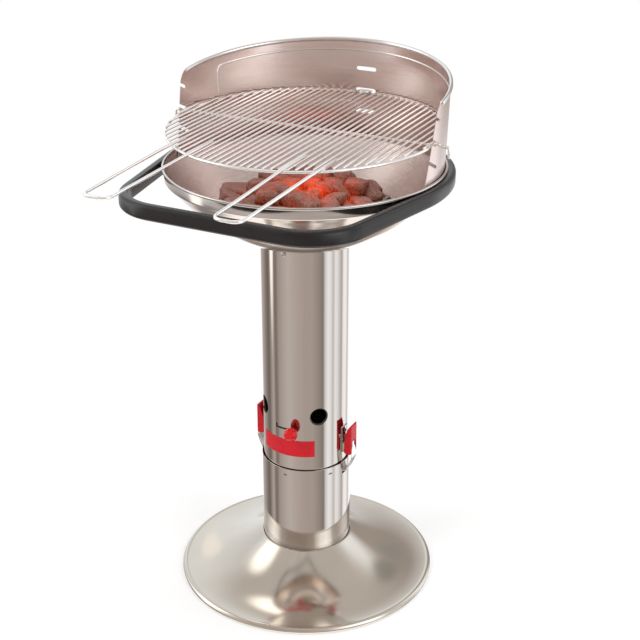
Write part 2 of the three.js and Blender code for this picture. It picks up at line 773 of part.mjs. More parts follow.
// Cooking grill: bars on a ring, modelled level about the axis of the wire that carries it
function grillSolid() {
  const ring = solidOf(turned(
    circleOutline(ring_radius, ring_level, ring_wire_radius, wire_sides),
  ).translate(0, -seat_back, 0));
  const wire_room = cross_wire_radius + seat_gap;
  const room = new THREE.BoxGeometry(2 * cross_wire_reach, 2 * wire_room, 4 * ring_wire_radius)
    .translate(0, 0, ring_level);
  const bars = countedBothWays(bars_each_side).map((number) => {
    const x = number * bar_pitch;
    const side = Math.abs(x) + bar_wire_radius;
    const half = Math.sqrt((ring_radius + bar_overhang) ** 2 - side ** 2);
    const ends = [-half, half].map((y) => new THREE.Vector3(x, y - seat_back, bar_level));
    return solidOf(wire(ends, bar_wire_radius));
  });
  const hook_x = rear_hook_bar * bar_pitch;
  const shield_outside = shield_radius + shieldFlare(slot_used_height);
  const hook_y = shield_outside + rear_hook_reach - bar_wire_radius - seat_back;
  const hook_root = Math.sqrt(ring_radius ** 2 - hook_x ** 2) - seat_back;
  const hook = solidOf(wire(roundedLine([
    new THREE.Vector3(-hook_x, hook_root - rear_hook_bend, bar_level),
    new THREE.Vector3(-hook_x, hook_y, bar_level),
    new THREE.Vector3(hook_x, hook_y, bar_level),
    new THREE.Vector3(hook_x, hook_root - rear_hook_bend, bar_level),
  ], rear_hook_bend, 3), bar_wire_radius));
  return joined([ring.subtract(solidOf(room)), ...bars, hook]);
}

// The wire that the grill hangs by: straight under the bars, with a hump in each seat, turned down outside
function crossWireSolid() {
  const flat_start = shield_bore + shieldFlare(seat_height) - hump_lead;
  const flat_end = flat_start + hump_flat;
  const humps = [-1, 1].map((side) => roundedLine([
    [flat_start - 2 * hump_run, 0], [flat_start - hump_run, 0], [flat_start, hump_rise],
    [flat_end, hump_rise], [flat_end + hump_run, 0], [flat_end + 2 * hump_run, 0],
  ].map(([x, z]) => new THREE.Vector3(side * x, 0, z)), hump_bend, 2));
  const ends = [-1, 1].map((side) => roundedLine([
    [flat_end + 2 * hump_run, 0], [cross_wire_reach, 0], [cross_wire_reach, -cross_wire_drop],
  ].map(([x, z]) => new THREE.Vector3(side * x, 0, z)), cross_wire_bend, 4).slice(1));
  const line = [...ends[0].reverse(), ...humps[0].reverse(), ...humps[1], ...ends[1]];
  return solidOf(wire(line, cross_wire_radius));
}

// A grip: a long loop of wire whose legs lie on the bars
function gripSolid(side) {
  const inner = side * grip_inner_bar * bar_pitch;
  const outer = inner + side * grip_spacing;
  const start_y = -grip_start - seat_back;
  const end_y = -grip_end + grip_wire_radius - seat_back;
  const corners = [[inner, start_y], [inner, end_y], [outer, end_y], [outer, start_y]]
    .map(([x, y]) => new THREE.Vector3(x, y, grip_level));
  return solidOf(wire(roundedLine(corners, grip_bend_radius, grip_bend_steps), grip_wire_radius));
}

// Charcoal grate: a ring that rests on the slope of the bowl, with bars across it
function grateHeight() {
  const section = circleOutline(grate_ring_radius, 0, grate_wire_radius, wire_sides);
  return Math.max(...section.map(([radius, rise]) => bowlFloor(radius) - rise)) + seat_gap;
}

const grate_height = grateHeight();
const grate_bar_height = grate_height + grate_wire_radius + grate_bar_radius - weld_bite;
const heap_bottom = grate_bar_height + grate_bar_radius + seat_gap;

function grateSolid() {
  const ring = solidOf(turned(
    circleOutline(grate_ring_radius, grate_height, grate_wire_radius, wire_sides),
  ));
  const bars = countedBothWays(grate_bars_each_side).map((number) => {
    const x = number * grate_pitch;
    const half = Math.sqrt(grate_ring_radius ** 2 - x ** 2);
    const ends = [-half, half].map((y) => new THREE.Vector3(x, y, grate_bar_height));
    return solidOf(wire(ends, grate_bar_radius));
  });
  return joined([ring, ...bars]);
}

// Charcoal: a heap of rounded lumps on a spiral, level underneath
function charcoalSolid() {
  const lumps = steps(lump_count).map((share, i) => {
    const angle = lump_turn * i;
    const radius = (heap_radius - lump_length) * Math.sqrt(share);
    const crown = heap_height * (1 - lump_crown_share * share) - lump_thickness;
    return solidOf(new THREE.IcosahedronGeometry(1, 1)
      .scale(lump_length, lump_width, lump_thickness)
      .rotateZ(angle * degree)
      .translate(radius * Math.cos(angle * degree), radius * Math.sin(angle * degree), heap_bottom + crown));
  });
  const bed = solidOf(turned([
    [0, heap_bottom], [heap_radius - lump_width, heap_bottom],
    [heap_radius - lump_width, heap_bottom + lump_thickness / 2],
    [0, heap_bottom + heap_height - lump_thickness],
  ]));
  const below = solidOf(new THREE.BoxGeometry(4 * heap_radius, 4 * heap_radius, 2 * heap_height)
    .translate(0, 0, heap_bottom - heap_height));
  return joined([bed, ...lumps]).subtract(below);
}

// Clip parts, in the radial plane of the clip
const link_radius = pivot_radius + link_pin_out;
const link_height = pivot_height + link_pin_rise;

function clipBracketSolid() {
  const plate_bore = upper_tube_radius + seat_gap;
  const plate = solidOf(turned(wallOutline(
    plate_bore, plate_bore + bracket_wall,
    pivot_height - ear_height / 2, pivot_height - ear_height / 2 + bracket_height,
  )));
  const window = solidOf(radialBox(
    plate_bore - overrun, plate_bore + 2 * overrun, bracket_width,
    pivot_height - bracket_height, pivot_height + bracket_height, 0,
  ));
  const root = plate_bore + bracket_wall / 2;
  const nose = steps(6).map((share) => {
    const angle = (-100 + 200 * share) * degree;
    return [pivot_radius + ear_radius * Math.cos(angle), pivot_height + ear_radius * Math.sin(angle)];
  });
  const ear_outline = [
    [root, pivot_height - ear_height / 2], [root + ear_foot, pivot_height - ear_radius],
    ...nose, [root, pivot_height + ear_radius + link_pin_radius],
  ];
  const ears = [-1, 1].map((side) => solidOf(
    platedOutline(ear_outline, ear_thickness).translate(0, side * (ear_inside + ear_thickness / 2), 0),
  ));
  const pivot_hole = solidOf(crossRod(pivot_pin_radius + seat_gap, lever_width, pivot_radius, pivot_height));
  const rivet_holes = rivet_rises.map((rise) => solidOf(radialRod(
    rivet_hole_radius, plate_bore - overrun, plate_bore + overrun, pivot_height + rise, 0,
  )));
  return cut(joined([plate.intersect(window), ...ears]), [pivot_hole, ...rivet_holes]);
}

function clipRivetSolid(rise) {
  const outer_face = upper_tube_radius + seat_gap + bracket_wall + seat_gap;
  const inner_face = upper_tube_bore - nut_gap;
  const height = pivot_height + rise;
  const tail = inner_face - rivet_head_height;
  const shank = radialRod(rivet_radius, tail, outer_face + rivet_head_height, height, 0);
  const outer = radialRod(rivet_head_radius, outer_face, outer_face + rivet_head_height, height, 0);
  const inner = radialRod(rivet_head_radius, tail, inner_face, height, 0);
  return joined([shank, outer, inner].map(solidOf));
}

function clipLeverSolid() {
  const face = pivot_radius + lever_depth;
  const root = pivot_radius - lever_root;
  const top = pivot_height + lever_top;
  const bottom = pivot_height - lever_foot;
  const outline = [
    [face, bottom + lever_face], [face, top], [face - lever_face, top],
    [face - lever_root, top - lever_foot], [root + lever_wall, pivot_height + lever_cheek_height],
    [root, pivot_height + lever_wall], [root, pivot_height - lever_foot / 2],
    [root + 2 * lever_wall, bottom], [face - lever_face, bottom],
  ];
  const body = solidOf(platedOutline(outline, lever_width));
  const hollow = solidOf(platedOutline(outline, lever_width - 2 * lever_wall)
    .translate(-lever_face, 0, -lever_face));
  const notch_top = pivot_height + notch_rise;
  const notch = solidOf(radialBox(
    face - 2 * lever_face, face + overrun, 2 * notch_half_width, bottom - overrun, notch_top, 0,
  ));
  const pivot_hole = solidOf(crossRod(
    pivot_pin_radius + seat_gap, lever_width + overrun, pivot_radius, pivot_height,
  ));
  const link_hole = solidOf(crossRod(
    link_pin_radius + seat_gap, lever_width + overrun, link_radius, link_height,
  ));
  return cut(body, [hollow, notch, pivot_hole, link_hole]);
}

function clipHookSolid() {
  const outside = link_radius + hook_eye_radius;
  const bulge = outside + hook_bulge;
  const tip_bottom = hook_slot_height_up + hook_slot_height / 2 - seat_gap - hook_wall;
  const tip_end = lower_tube_radius - hook_tip_depth;
  const shoulder_height = pivot_height - lever_foot - seat_gap;
  const neck = [
    [outside, link_height], [outside, pivot_height], [bulge, shoulder_height],
    [bulge, shoulder_height - hook_bulge / 2],
  ];
  const blade = [
    [bulge, shoulder_height - seat_gap], [bulge, shoulder_height - hook_bulge],
    [lower_tube_radius + 2 * hook_bulge, lower_tube_top - hook_bulge * 2],
    [lower_tube_radius + hook_bulge, hook_slot_height_up + hook_bulge],
    [lower_tube_radius + hook_wall, tip_bottom], [tip_end, tip_bottom],
  ];
  const eye = crossRod(hook_eye_radius, hook_neck_width, link_radius, link_height);
  const bore = crossRod(link_pin_radius + seat_gap, hook_width, link_radius, link_height);
  return joined([
    solidOf(platedOutline(sheetOutline(neck, hook_wall), hook_neck_width)),
    solidOf(platedOutline(sheetOutline(blade, hook_wall), hook_width)),
    solidOf(eye),
  ]).subtract(solidOf(bore));
}

// The assembly
const grill = new THREE.Group();

function place(parent, name, solid, look, turn = 0) {
  const mesh = new THREE.Mesh(geometryOf(solid), look);
  mesh.name = name;
  mesh.rotation.z = turn * degree;
  parent.add(mesh);
}

place(grill, 'foot', footSolid(), steel());
place(grill, 'lower_tube', lowerTubeSolid(), steel());
place(grill, 'ash_floor', ashFloorSolid(), steel());
foot_screw_angles.forEach((angle, i) => place(grill, `foot_screw_${i + 1}`, screw(
  foot_flange_radius + seat_gap, lower_tube_bore - seat_gap - ash_floor_wall - nut_gap,
  foot_screw_height, angle,
), steel()));
place(grill, 'upper_tube', upperTubeSolid(), steel());
place(grill, 'damper_sleeve', damperSleeveSolid(), steel());
place(grill, 'damper_pin', damperPinSolid(), steel());
place(grill, 'damper_knob', damperKnobSolid(), red_plastic());
place(grill, 'bowl', bowlSolid(), steel());
bowl_screw_angles.forEach((angle, i) => place(grill, `bowl_screw_${i + 1}`, screw(
  upper_tube_radius + seat_gap, bowl_neck_radius - bowl_wall - nut_gap, bowl_screw_height, angle,
), steel()));
place(grill, 'handle_bar', handleBarSolid(), black_bar());
barScrewAngles().forEach((angle, i) => place(grill, `handle_screw_${i + 1}`, barScrewSolid(angle), steel()));
place(grill, 'charcoal_grate', grateSolid(), steel());
place(grill, 'charcoal', charcoalSolid(), ember());
place(grill, 'wind_shield', shieldSolid(), steel());

for (const [side, angle] of Object.entries(clip_angles)) {
  const pivot_pin = solidOf(crossRod(pivot_pin_radius, lever_width, pivot_radius, pivot_height));
  const link_pin = solidOf(crossRod(link_pin_radius, lever_width, link_radius, link_height));
  place(grill, `clip_bracket_${side}`, clipBracketSolid(), steel(), angle);
  rivet_rises.forEach((rise, i) => place(
    grill, `clip_rivet_${side}_${i + 1}`, clipRivetSolid(rise), steel(), angle,
  ));
  place(grill, `clip_pivot_pin_${side}`, pivot_pin, steel(), angle);
  place(grill, `clip_lever_${side}`, clipLeverSolid(), red_plastic(), angle);
  place(grill, `clip_link_pin_${side}`, link_pin, steel(), angle);
  place(grill, `clip_hook_${side}`, clipHookSolid(), wire_chrome(), angle);
}

const hung_grill = new THREE.Group();
hung_grill.position.set(0, seat_back, cross_wire_height);
hung_grill.rotation.x = grill_tilt;
grill.add(hung_grill);
place(hung_grill, 'cooking_grill', grillSolid(), wire_chrome());
place(hung_grill, 'grill_cross_wire', crossWireSolid(), wire_chrome());
place(hung_grill, 'grill_grip_left', gripSolid(-1), wire_chrome());
place(hung_grill, 'grill_grip_right', gripSolid(1), wire_chrome());

// The model's origin is the middle of its footprint, on the ground
const assembly = new THREE.Group();
assembly.add(grill);
grill.updateMatrixWorld(true);
const extent = new THREE.Box3().setFromObject(grill, true);
grill.position.set(
  -(extent.min.x + extent.max.x) / 2, -(extent.min.y + extent.max.y) / 2, -extent.min.z,
);

export default assembly;
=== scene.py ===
# %% [markdown]
# # A pedestal charcoal barbecue
# A flared foot carries a chimney column of polished steel. On it sit a fire bowl, a wind shield and a
# wire grill. The CAD model gives every size and every moving body; here each piece gets its finer
# shape and its finish. The CAD frame comes first, because every piece rides on one of its bodies.

import bpy
import mathutils
import numpy as np
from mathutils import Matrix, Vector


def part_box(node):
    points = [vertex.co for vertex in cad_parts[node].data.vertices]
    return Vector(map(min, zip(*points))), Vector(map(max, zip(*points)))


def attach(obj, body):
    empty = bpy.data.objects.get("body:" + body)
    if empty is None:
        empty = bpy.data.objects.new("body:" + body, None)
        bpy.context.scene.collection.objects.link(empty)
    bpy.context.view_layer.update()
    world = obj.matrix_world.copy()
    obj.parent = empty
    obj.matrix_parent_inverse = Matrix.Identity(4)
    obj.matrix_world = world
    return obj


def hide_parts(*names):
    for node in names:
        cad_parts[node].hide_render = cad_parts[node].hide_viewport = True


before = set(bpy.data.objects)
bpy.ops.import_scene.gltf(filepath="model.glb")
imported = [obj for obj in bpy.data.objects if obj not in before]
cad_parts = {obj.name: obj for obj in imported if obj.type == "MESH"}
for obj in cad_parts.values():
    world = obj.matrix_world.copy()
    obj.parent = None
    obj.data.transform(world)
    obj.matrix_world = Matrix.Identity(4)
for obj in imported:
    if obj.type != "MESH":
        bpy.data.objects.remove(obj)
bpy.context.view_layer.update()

# %% [markdown]
# ## Working units
# The pieces were measured in millimetres around the column, so they are worked out that way. Only
# one helper, `piece`, turns millimetres into the frame's metres, and it moves the column's axis to
# where the CAD's foot stands.

# %% Units and the column's axis
MM = 0.001
TURN = 2 * np.pi
SHEET = 1.2  # the wall of the tubes, the damper's sleeve and the bowl
foot_low, foot_high = (np.array(corner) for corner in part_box("foot"))
AXIS = (foot_low + foot_high) / 2 * [1, 1, 0]
print("column axis at", AXIS.round(4))

# %% [markdown]
# ## From arrays to a mesh
# Every shape below is a grid of points: rows and columns, which may each close on themselves. A grid
# could also be drawn with Blender's modelling tools, but as arrays it is exact and can be changed by
# one number. Where a grid meets its own pole or seam, equal points are welded into one.


# %% Grids and welding
def grid_faces(rows, columns, wrap_rows=False, wrap_columns=False):
    """Corner numbers of each cell of a grid whose point (i, j) has number i * columns + j."""
    i = np.arange(rows if wrap_rows else rows - 1)[:, None]
    j = np.arange(columns if wrap_columns else columns - 1)[None, :]
    down, right = (i + 1) % rows, (j + 1) % columns
    cells = [i * columns + j, i * columns + right, down * columns + right, down * columns + j]
    return np.stack([np.broadcast_to(c, (i.size, j.size)) for c in cells], -1).reshape(-1, 4)


def welded(points, faces, digits=4):
    """Points that agree to the given digits become one; a quad that loses a corner is a triangle."""
    _, first, number = np.unique(points.round(digits), axis=0, return_index=True, return_inverse=True)
    number = number.reshape(-1)
    kept = []
    for group in faces:
        cells = number[group]
        new = cells != np.roll(cells, -1, axis=1)
        corners = new.sum(1)
        if group.shape[1] == 4:
            kept.append(cells[corners == 4])
            three = corners == 3
            kept.append(cells[three][new[three]].reshape(-1, 3))
        else:
            kept.append(cells[corners == 3])
    return points[first], [group for group in kept if len(group)]


def outwards(points, faces):
    """Turns the faces round if the volume under them, the sum of a·(b×c)/6, is negative."""
    volume = 0.0
    for group in faces:
        for k in range(1, group.shape[1] - 1):
            a, b, c = points[group[:, 0]], points[group[:, k]], points[group[:, k + 1]]
            volume += (a * np.cross(b, c)).sum() / 6
    return [group[:, ::-1] for group in faces] if volume < 0 else faces


def gathered(shapes):
    """Several shapes as one: their points in a row, and each one's corner numbers moved on."""
    points, faces, count = [], [], 0
    for shape_points, shape_faces in shapes:
        points.append(shape_points)
        faces += [group + count for group in shape_faces]
        count += len(shape_points)
    return np.concatenate(points), faces


print("cells of 3 by 3 points, open and closed:", len(grid_faces(3, 3)), len(grid_faces(3, 3, True, True)))

# %% [markdown]
# ## From a shape to a piece
# A mesh is filled in three long lists: the points, the corners of all faces in a row, and where each
# face starts in that row. Blender takes whole arrays for them, which is far quicker than adding faces
# one by one. The piece then says which CAD part it stands for and on which body it rides.


# %% The piece helper
def piece(name, shape, look, body, stands_for=(), crease=35.0):
    """Puts a shape, in millimetres around the column, into a mesh that rides on a body."""
    points, faces = shape
    faces = [group for group in faces if len(group)]
    corners = np.concatenate([group.ravel() for group in faces])
    used, corners = np.unique(corners, return_inverse=True)
    sizes = np.concatenate([np.full(len(group), group.shape[1]) for group in faces])
    mesh = bpy.data.meshes.new(name)
    mesh.vertices.add(len(used))
    mesh.vertices.foreach_set("co", (points[used] * MM + AXIS).astype(np.float32).ravel())
    mesh.loops.add(len(corners))
    mesh.loops.foreach_set("vertex_index", corners.astype(np.int32).ravel())
    mesh.polygons.add(len(sizes))
    mesh.polygons.foreach_set("loop_start", (np.cumsum(sizes) - sizes).astype(np.int32))
    mesh.update(calc_edges=True)
    mesh.validate()
    mesh.shade_smooth()
    mesh.set_sharp_from_angle(angle=np.radians(crease))
    mesh.materials.append(look)
    made = bpy.data.objects.new(name, mesh)
    bpy.context.scene.collection.objects.link(made)
    if stands_for:
        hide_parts(*stands_for)
    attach(made, body)
    print(f"{name}: {len(used)} points, {len(sizes)} faces")
    return made


def of_faces(made, kind):
    """The centre or the normal of every face of an object, as rows."""
    values = np.zeros(len(made.data.polygons) * 3)
    made.data.polygons.foreach_get(kind, values)
    return values.reshape(-1, 3)


def coat_faces(made, look_numbers):
    """Says for every face which of the object's looks it has."""
    made.data.polygons.foreach_set("material_index", np.asarray(look_numbers, np.int32))


# %% [markdown]
# ## Three ways to make a surface
# Nearly all of this barbecue is turned, rolled or bent from wire. A *turned* piece is a profile
# carried round the axis. A *swept* piece is a section carried along a path, which suits wire, the
# handle bar and the hem. A *shell* is an open sheet given a wall.


# %% Turned, swept and shell
def turned(profile, segments=192):
    """The point of row i and column j is (r cos a, r sin a, z), a going once round."""
    r, z = np.asarray(profile, float).T
    a = np.linspace(0, TURN, segments, endpoint=False)
    points = np.stack([np.outer(r, np.cos(a)), np.outer(r, np.sin(a)), np.outer(z, np.ones(segments))], -1)
    points, faces = welded(points.reshape(-1, 3), [grid_faces(len(r), segments, True, True)])
    return points, outwards(points, faces)


def arc(centre, radius, start, end, count):
    """Points on a circle in the profile's plane, from one angle to the other, in degrees."""
    a = np.radians(np.linspace(start, end, count))
    return np.stack([centre[0] + radius * np.cos(a), centre[1] + radius * np.sin(a)], -1)


def unit(v):
    """Each row divided by its own length."""
    return v / np.linalg.norm(v, axis=-1, keepdims=True)


def offset(line, wall):
    """A line in the profile's plane moved by the wall to the right of its run."""
    run = unit(np.gradient(line, axis=0))
    return line + wall * np.stack([run[:, 1], -run[:, 0]], -1)


def swept(path, section, up, scale=None, closed=False):
    """Each point is path + x * side + y * top, where side = run × up and top = side × run."""
    path = np.asarray(path, float)
    if closed:
        run = unit(np.roll(path, -1, 0) - np.roll(path, 1, 0))
    else:
        run = unit(np.gradient(path, axis=0))
    side = unit(np.cross(run, up))
    top = np.cross(side, run)
    scale = np.ones((len(path), 2)) if scale is None else np.broadcast_to(scale, (len(path), 2))
    x = section[None, :, 0:1] * scale[:, None, 0:1]
    y = section[None, :, 1:2] * scale[:, None, 1:2]
    points = path[:, None] + side[:, None] * x + top[:, None] * y
    faces = [grid_faces(len(path), len(section), closed, True)]
    points, faces = welded(points.reshape(-1, 3), faces)
    return points, outwards(points, faces)


def circle(radius, sides):
    """A round section."""
    return arc((0, 0), radius, 0, 360, sides + 1)[:-1]


print("a turned ring has", len(turned(circle(1, 8) + [10, 0], 12)[0]), "points")


# %% Wires, bends and sheets
def rounded_ends(path, radius, steps=4):
    """A path whose ends close like a dome: the section shrinks as sin of an angle near each end."""
    path = np.asarray(path, float)
    a = np.linspace(0, np.pi / 2, steps + 1)
    first, last = unit(path[1] - path[0]), unit(path[-2] - path[-1])
    start = path[0] + np.outer(radius * (1 - np.cos(a)), first)
    end = path[-1] + np.outer(radius * (1 - np.cos(a)), last)
    scale = np.concatenate([np.sin(a), np.ones(len(path) - 2), np.sin(a)[::-1]])
    return np.concatenate([start, path[1:-1], end[::-1]]), scale[:, None] * np.ones((1, 2))


def wire(path, radius, up, sides=12):
    """A round wire with domed ends."""
    route, scale = rounded_ends(path, radius)
    return swept(route, circle(radius, sides), up, scale)


def rounded_path(corners, radius, steps=8):
    """Straight runs joined by smooth bends: each bend is a quadratic curve between two cut points."""
    corners = [np.asarray(c, float) for c in corners]
    points = [corners[0]]
    for before, here, after in zip(corners, corners[1:], corners[2:]):
        start, end = here + unit(before - here) * radius, here + unit(after - here) * radius
        t = np.linspace(0, 1, steps)[:, None]
        points += list((1 - t) ** 2 * start + 2 * t * (1 - t) * here + t**2 * end)
    return np.array(points + [corners[-1]])


def shell(outer, inner, faces):
    """A sheet with a wall: its outside, its inside turned round, and a rim along every open edge."""
    _, first, number = np.unique(outer.round(4), axis=0, return_index=True, return_inverse=True)
    number = number.reshape(-1)
    outer, inner = outer[first], inner[first]
    faces = [number[group] for group in faces if len(group)]
    runs = np.concatenate([np.stack([g, np.roll(g, -1, 1)], -1).reshape(-1, 2) for g in faces])
    count = len(outer)
    there, back = runs[:, 0] * count + runs[:, 1], runs[:, 1] * count + runs[:, 0]
    rim = runs[~np.isin(there, back)]
    wall = np.stack([rim[:, 1], rim[:, 0], rim[:, 0] + count, rim[:, 1] + count], -1)
    every = faces + [group[:, ::-1] + count for group in faces] + [wall]
    points = np.concatenate([outer, inner])
    return points, outwards(points, every)


print("a straight wire has", len(wire([[0, 0, 0], [9, 0, 0]], 1.0, (0, 0, 1))[0]), "points with its domes")


# %% [markdown]
# ## Holes in sheet
# Slots and air holes could be cut with a Boolean, but that leaves long thin faces which show as
# streaks in polished steel. Here the grid's own points are moved onto the hole's edge instead. Each
# hole is a distance: below zero inside it, above zero outside.


# %% Piercing a grid
def pierced(x, y, distance):
    """Moves points next to an edge onto it, along the distance's slope, and drops the cells inside."""
    step = 0.01
    d = distance(x, y)
    slope_x = (distance(x + step, y) - distance(x - step, y)) / (2 * step)
    slope_y = (distance(x, y + step) - distance(x, y - step)) / (2 * step)
    cell_x, cell_y = np.abs(np.gradient(x, axis=1)), np.abs(np.gradient(y, axis=0))
    near = np.abs(d) <= 0.5 * (cell_x * np.abs(slope_x) + cell_y * np.abs(slope_y))
    side = np.where(near, 0, np.sign(d)).ravel()
    x, y = np.where(near, x - d * slope_x, x), np.where(near, y - d * slope_y, y)
    cells = grid_faces(*x.shape)
    sides = side[cells]
    middle = distance(x.ravel()[cells].mean(1), y.ravel()[cells].mean(1))
    whole = (sides.min(1) >= 0) & ~((sides.max(1) == 0) & (middle < 0))
    halved = (sides.max(1) > 0) & ((sides < 0).sum(1) == 1)
    triangles = cells[halved][sides[halved] >= 0].reshape(-1, 3)
    return x, y, [cells[whole], triangles]


def slot_distance(x, y, half_length, half_height, turn=0.0):
    """Distance from a round-ended slot at the origin: past its middle line, less its half height."""
    c, s = np.cos(turn), np.sin(turn)
    along, across = x * c + y * s, -x * s + y * c
    past = np.maximum(np.abs(along) - (half_length - half_height), 0)
    return np.hypot(past, across) - half_height


def around(radius, x, z, middle):
    """An unrolled place on a cylinder: x is the angle in radians from the middle, given in degrees."""
    a = np.radians(middle) + x
    return np.stack([radius * np.cos(a), radius * np.sin(a), z], -1).reshape(-1, 3)


print("distance at a slot's middle, edge and outside:", [float(slot_distance(0, y, 9, 2)) for y in (0, 2, 5)])


# %% [markdown]
# ## The finishes
# The steel is stainless, rolled and then polished, so it is a metal whose roughness and brightness
# change in long faint streaks. A picture of steel could be wrapped round it, but a noise stretched
# along one direction gives the same streaks at any scale. All patterns read the object's own
# coordinates, so they stay on the piece when it moves.


# %% Nodes and materials
def fill(tree, node, values):
    """Fills a node's sockets: an output is linked in, a plain number or colour is set."""
    for socket, value in values.items():
        if isinstance(value, bpy.types.NodeSocket):
            tree.links.new(value, node.inputs[socket])
        else:
            node.inputs[socket].default_value = value
    return node


def add(tree, kind, values=(), **settings):
    """A new node with its settings, and then its sockets filled."""
    made = tree.nodes.new("ShaderNode" + kind)
    for name, setting in settings.items():
        setattr(made, name, setting)
    return fill(tree, made, dict(values))


def material(name, colour, roughness, metallic=0.0):
    """A new material whose main shader has plain values, with its node tree and that shader."""
    made = bpy.data.materials.new(name)
    made.use_nodes = True
    shader = made.node_tree.nodes["Principled BSDF"]
    fill(made.node_tree, shader, {"Base Color": (*colour, 1), "Roughness": roughness, "Metallic": metallic})
    return made, made.node_tree, shader


print("materials before the first finish:", len(bpy.data.materials))

# %% Patterns
NOISE = (0.3, 0.7)  # where nearly all of a noise's values lie


def noise(tree, scale, detail=4.0, stretch=(1, 1, 1)):
    """Noise on the object's coordinates; a small number in stretch draws it out along that axis."""
    place = add(tree, "TexCoord").outputs["Object"]
    moved = add(tree, "Mapping", {"Vector": place, "Location": tuple(-AXIS), "Scale": stretch}).outputs[0]
    return add(tree, "TexNoise", {"Vector": moved, "Scale": scale, "Detail": detail}).outputs["Fac"]


def ramp(tree, source, stops):
    """A colour ramp from (place, colour) pairs."""
    made = add(tree, "ValToRGB", {"Fac": source})
    band = made.color_ramp.elements
    while len(band) < len(stops):
        band.new(0.5)
    for element, (place, colour) in zip(band, stops):
        element.position = place
        element.color = (*colour, 1)
    return made.outputs["Color"]


def ranged(tree, source, numbers, **settings):
    """A value carried from one stretch of numbers to another, which is 0 to 1 when left out."""
    values = dict(zip(("From Min", "From Max", "To Min", "To Max"), numbers))
    return add(tree, "MapRange", {"Value": source, **values}, **settings).outputs["Result"]


def clouded(tree, shader, tones, dullness, dark, light, rough):
    """The tones, a noise, carry the colour from dark to light; the dullness carries the roughness."""
    colour = ramp(tree, tones, list(zip(NOISE, (dark, light))))
    fill(tree, shader, {"Base Color": colour, "Roughness": ranged(tree, dullness, (*NOISE, *rough))})


def bumped(tree, shader, height, strength, distance):
    """A bump of the given height pattern on the shader's normal."""
    bump = add(tree, "Bump", {"Strength": strength, "Distance": distance, "Height": height})
    fill(tree, shader, {"Normal": bump.outputs["Normal"]})


print("noise is read from", NOISE[0], "to", NOISE[1])


# %% [markdown]
# ### Polished steel
# One recipe serves the foot, the tubes, the bowl and the shield. What changes is how far the streaks
# are drawn out along the rolling direction, and how warm the steel looks.


# %% Steel finishes
def steel(name, light, dark, stretch, rough, scale=30.0, brushed=0.0, height=0.0, metallic=1.0):
    """Metal whose colour runs from dark to light along the streaks, and whose roughness is clouded.

    Brushed steel has fine lines round the column, so it draws a highlight out across them.
    """
    made, tree, shader = material(name, light, rough[0], metallic)
    if brushed:
        lines = add(tree, "Tangent", direction_type="RADIAL", axis="Z").outputs["Tangent"]
        fill(tree, shader, {"Anisotropic": brushed, "Tangent": lines})
    streaks = noise(tree, scale, stretch=stretch)
    clouded(tree, shader, streaks, noise(tree, 7.0, 2.0), dark, light, rough)
    bumped(tree, shader, streaks, height, 0.5 * MM)
    return made


column_steel = steel(
    "column_steel", (0.65, 0.6, 0.56), (0.63, 0.58, 0.54), (6, 6, 0.25), (0.04, 0.07), height=0.006,
)
foot_steel = steel(
    "foot_steel", (0.71, 0.66, 0.59), (0.67, 0.62, 0.55), (1, 1, 1), (0.11, 0.16), 12.0, height=0.01,
)
bowl_steel = steel("bowl_steel", (0.7, 0.66, 0.63), (0.66, 0.61, 0.58), (1, 1, 8), (0.08, 0.13))
# The bowl's inside is lighter and pinker than its outside: painted light and glow of the fire.
bowl_inside_painted_light = steel("bowl_inside_painted_light", (0.9, 0.8, 0.77), (0.82, 0.72, 0.69), (1, 1, 8), (0.24, 0.32), brushed=0.5)
# The belt below the crease is browner and warmer: a painted warm reflection of the room below.
bowl_below_painted_reflection = steel("bowl_below_painted_reflection", (0.7, 0.47, 0.34), (0.64, 0.42, 0.3), (2, 2, 6), (0.2, 0.28))
# The shield is pinker than the other steel: a painted warm glow of the fire.
shield_painted_glow_steel = steel(
    "shield_painted_glow_steel", (0.84, 0.7, 0.66), (0.76, 0.63, 0.59), (0.4, 0.4, 20), (0.17, 0.22), brushed=0.75,
)
# The hem and the pressed line are lighter than the shield: a painted highlight along the rolled edge.
hem_painted_highlight_steel = steel("hem_painted_highlight_steel", (0.86, 0.84, 0.82), (0.8, 0.78, 0.76), (1, 1, 4), (0.14, 0.2))
wire_steel = steel(
    "wire_steel", (0.96, 0.94, 0.92), (0.9, 0.88, 0.86), (4, 4, 4), (0.08, 0.14), 60.0, metallic=0.85,
)
hook_steel = steel(
    "hook_steel", (0.9, 0.88, 0.86), (0.8, 0.77, 0.75), (4, 4, 4), (0.14, 0.22), 60.0, metallic=0.85,
)
screw_steel = steel(
    "screw_steel", (0.62, 0.6, 0.57), (0.5, 0.48, 0.45), (3, 3, 3), (0.2, 0.35), 90.0, height=0.03,
)
# Near black for the insides of the column, the damper's sleeve and the ash floor: soot and painted shade.
soot_and_painted_shade, tree, shader = material("soot_and_painted_shade", (0.03, 0.027, 0.025), 0.7, 0.3)
soot_and_shade_tones = zip(NOISE, [(0.03, 0.026, 0.022), (0.1, 0.088, 0.075)])
fill(tree, shader, {"Base Color": ramp(tree, noise(tree, 40.0), list(soot_and_shade_tones))})
print("finishes so far:", [look.name for look in bpy.data.materials])


# %% [markdown]
# ### Plastic and paint
# The handle bar is a satin black hollow bar; its fine orange-peel skin blurs the long highlight. The
# clips and the plate are bright red with little shine, and only the knob is glossy. One recipe makes
# all four, because they differ in a few numbers only.


# %% Black and red finishes
def moulded(name, light, dark, rough, grain, height=0.0, shine=0.5):
    """A plastic whose colour clouds a little and whose skin may have a fine grain."""
    made, tree, shader = material(name, light, rough[0])
    clouds = noise(tree, 25.0, 3.0)
    clouded(tree, shader, clouds, clouds, dark, light, rough)
    fill(tree, shader, {"Specular IOR Level": shine})
    bumped(tree, shader, noise(tree, grain, 2.0), height, 0.4 * MM)
    return made


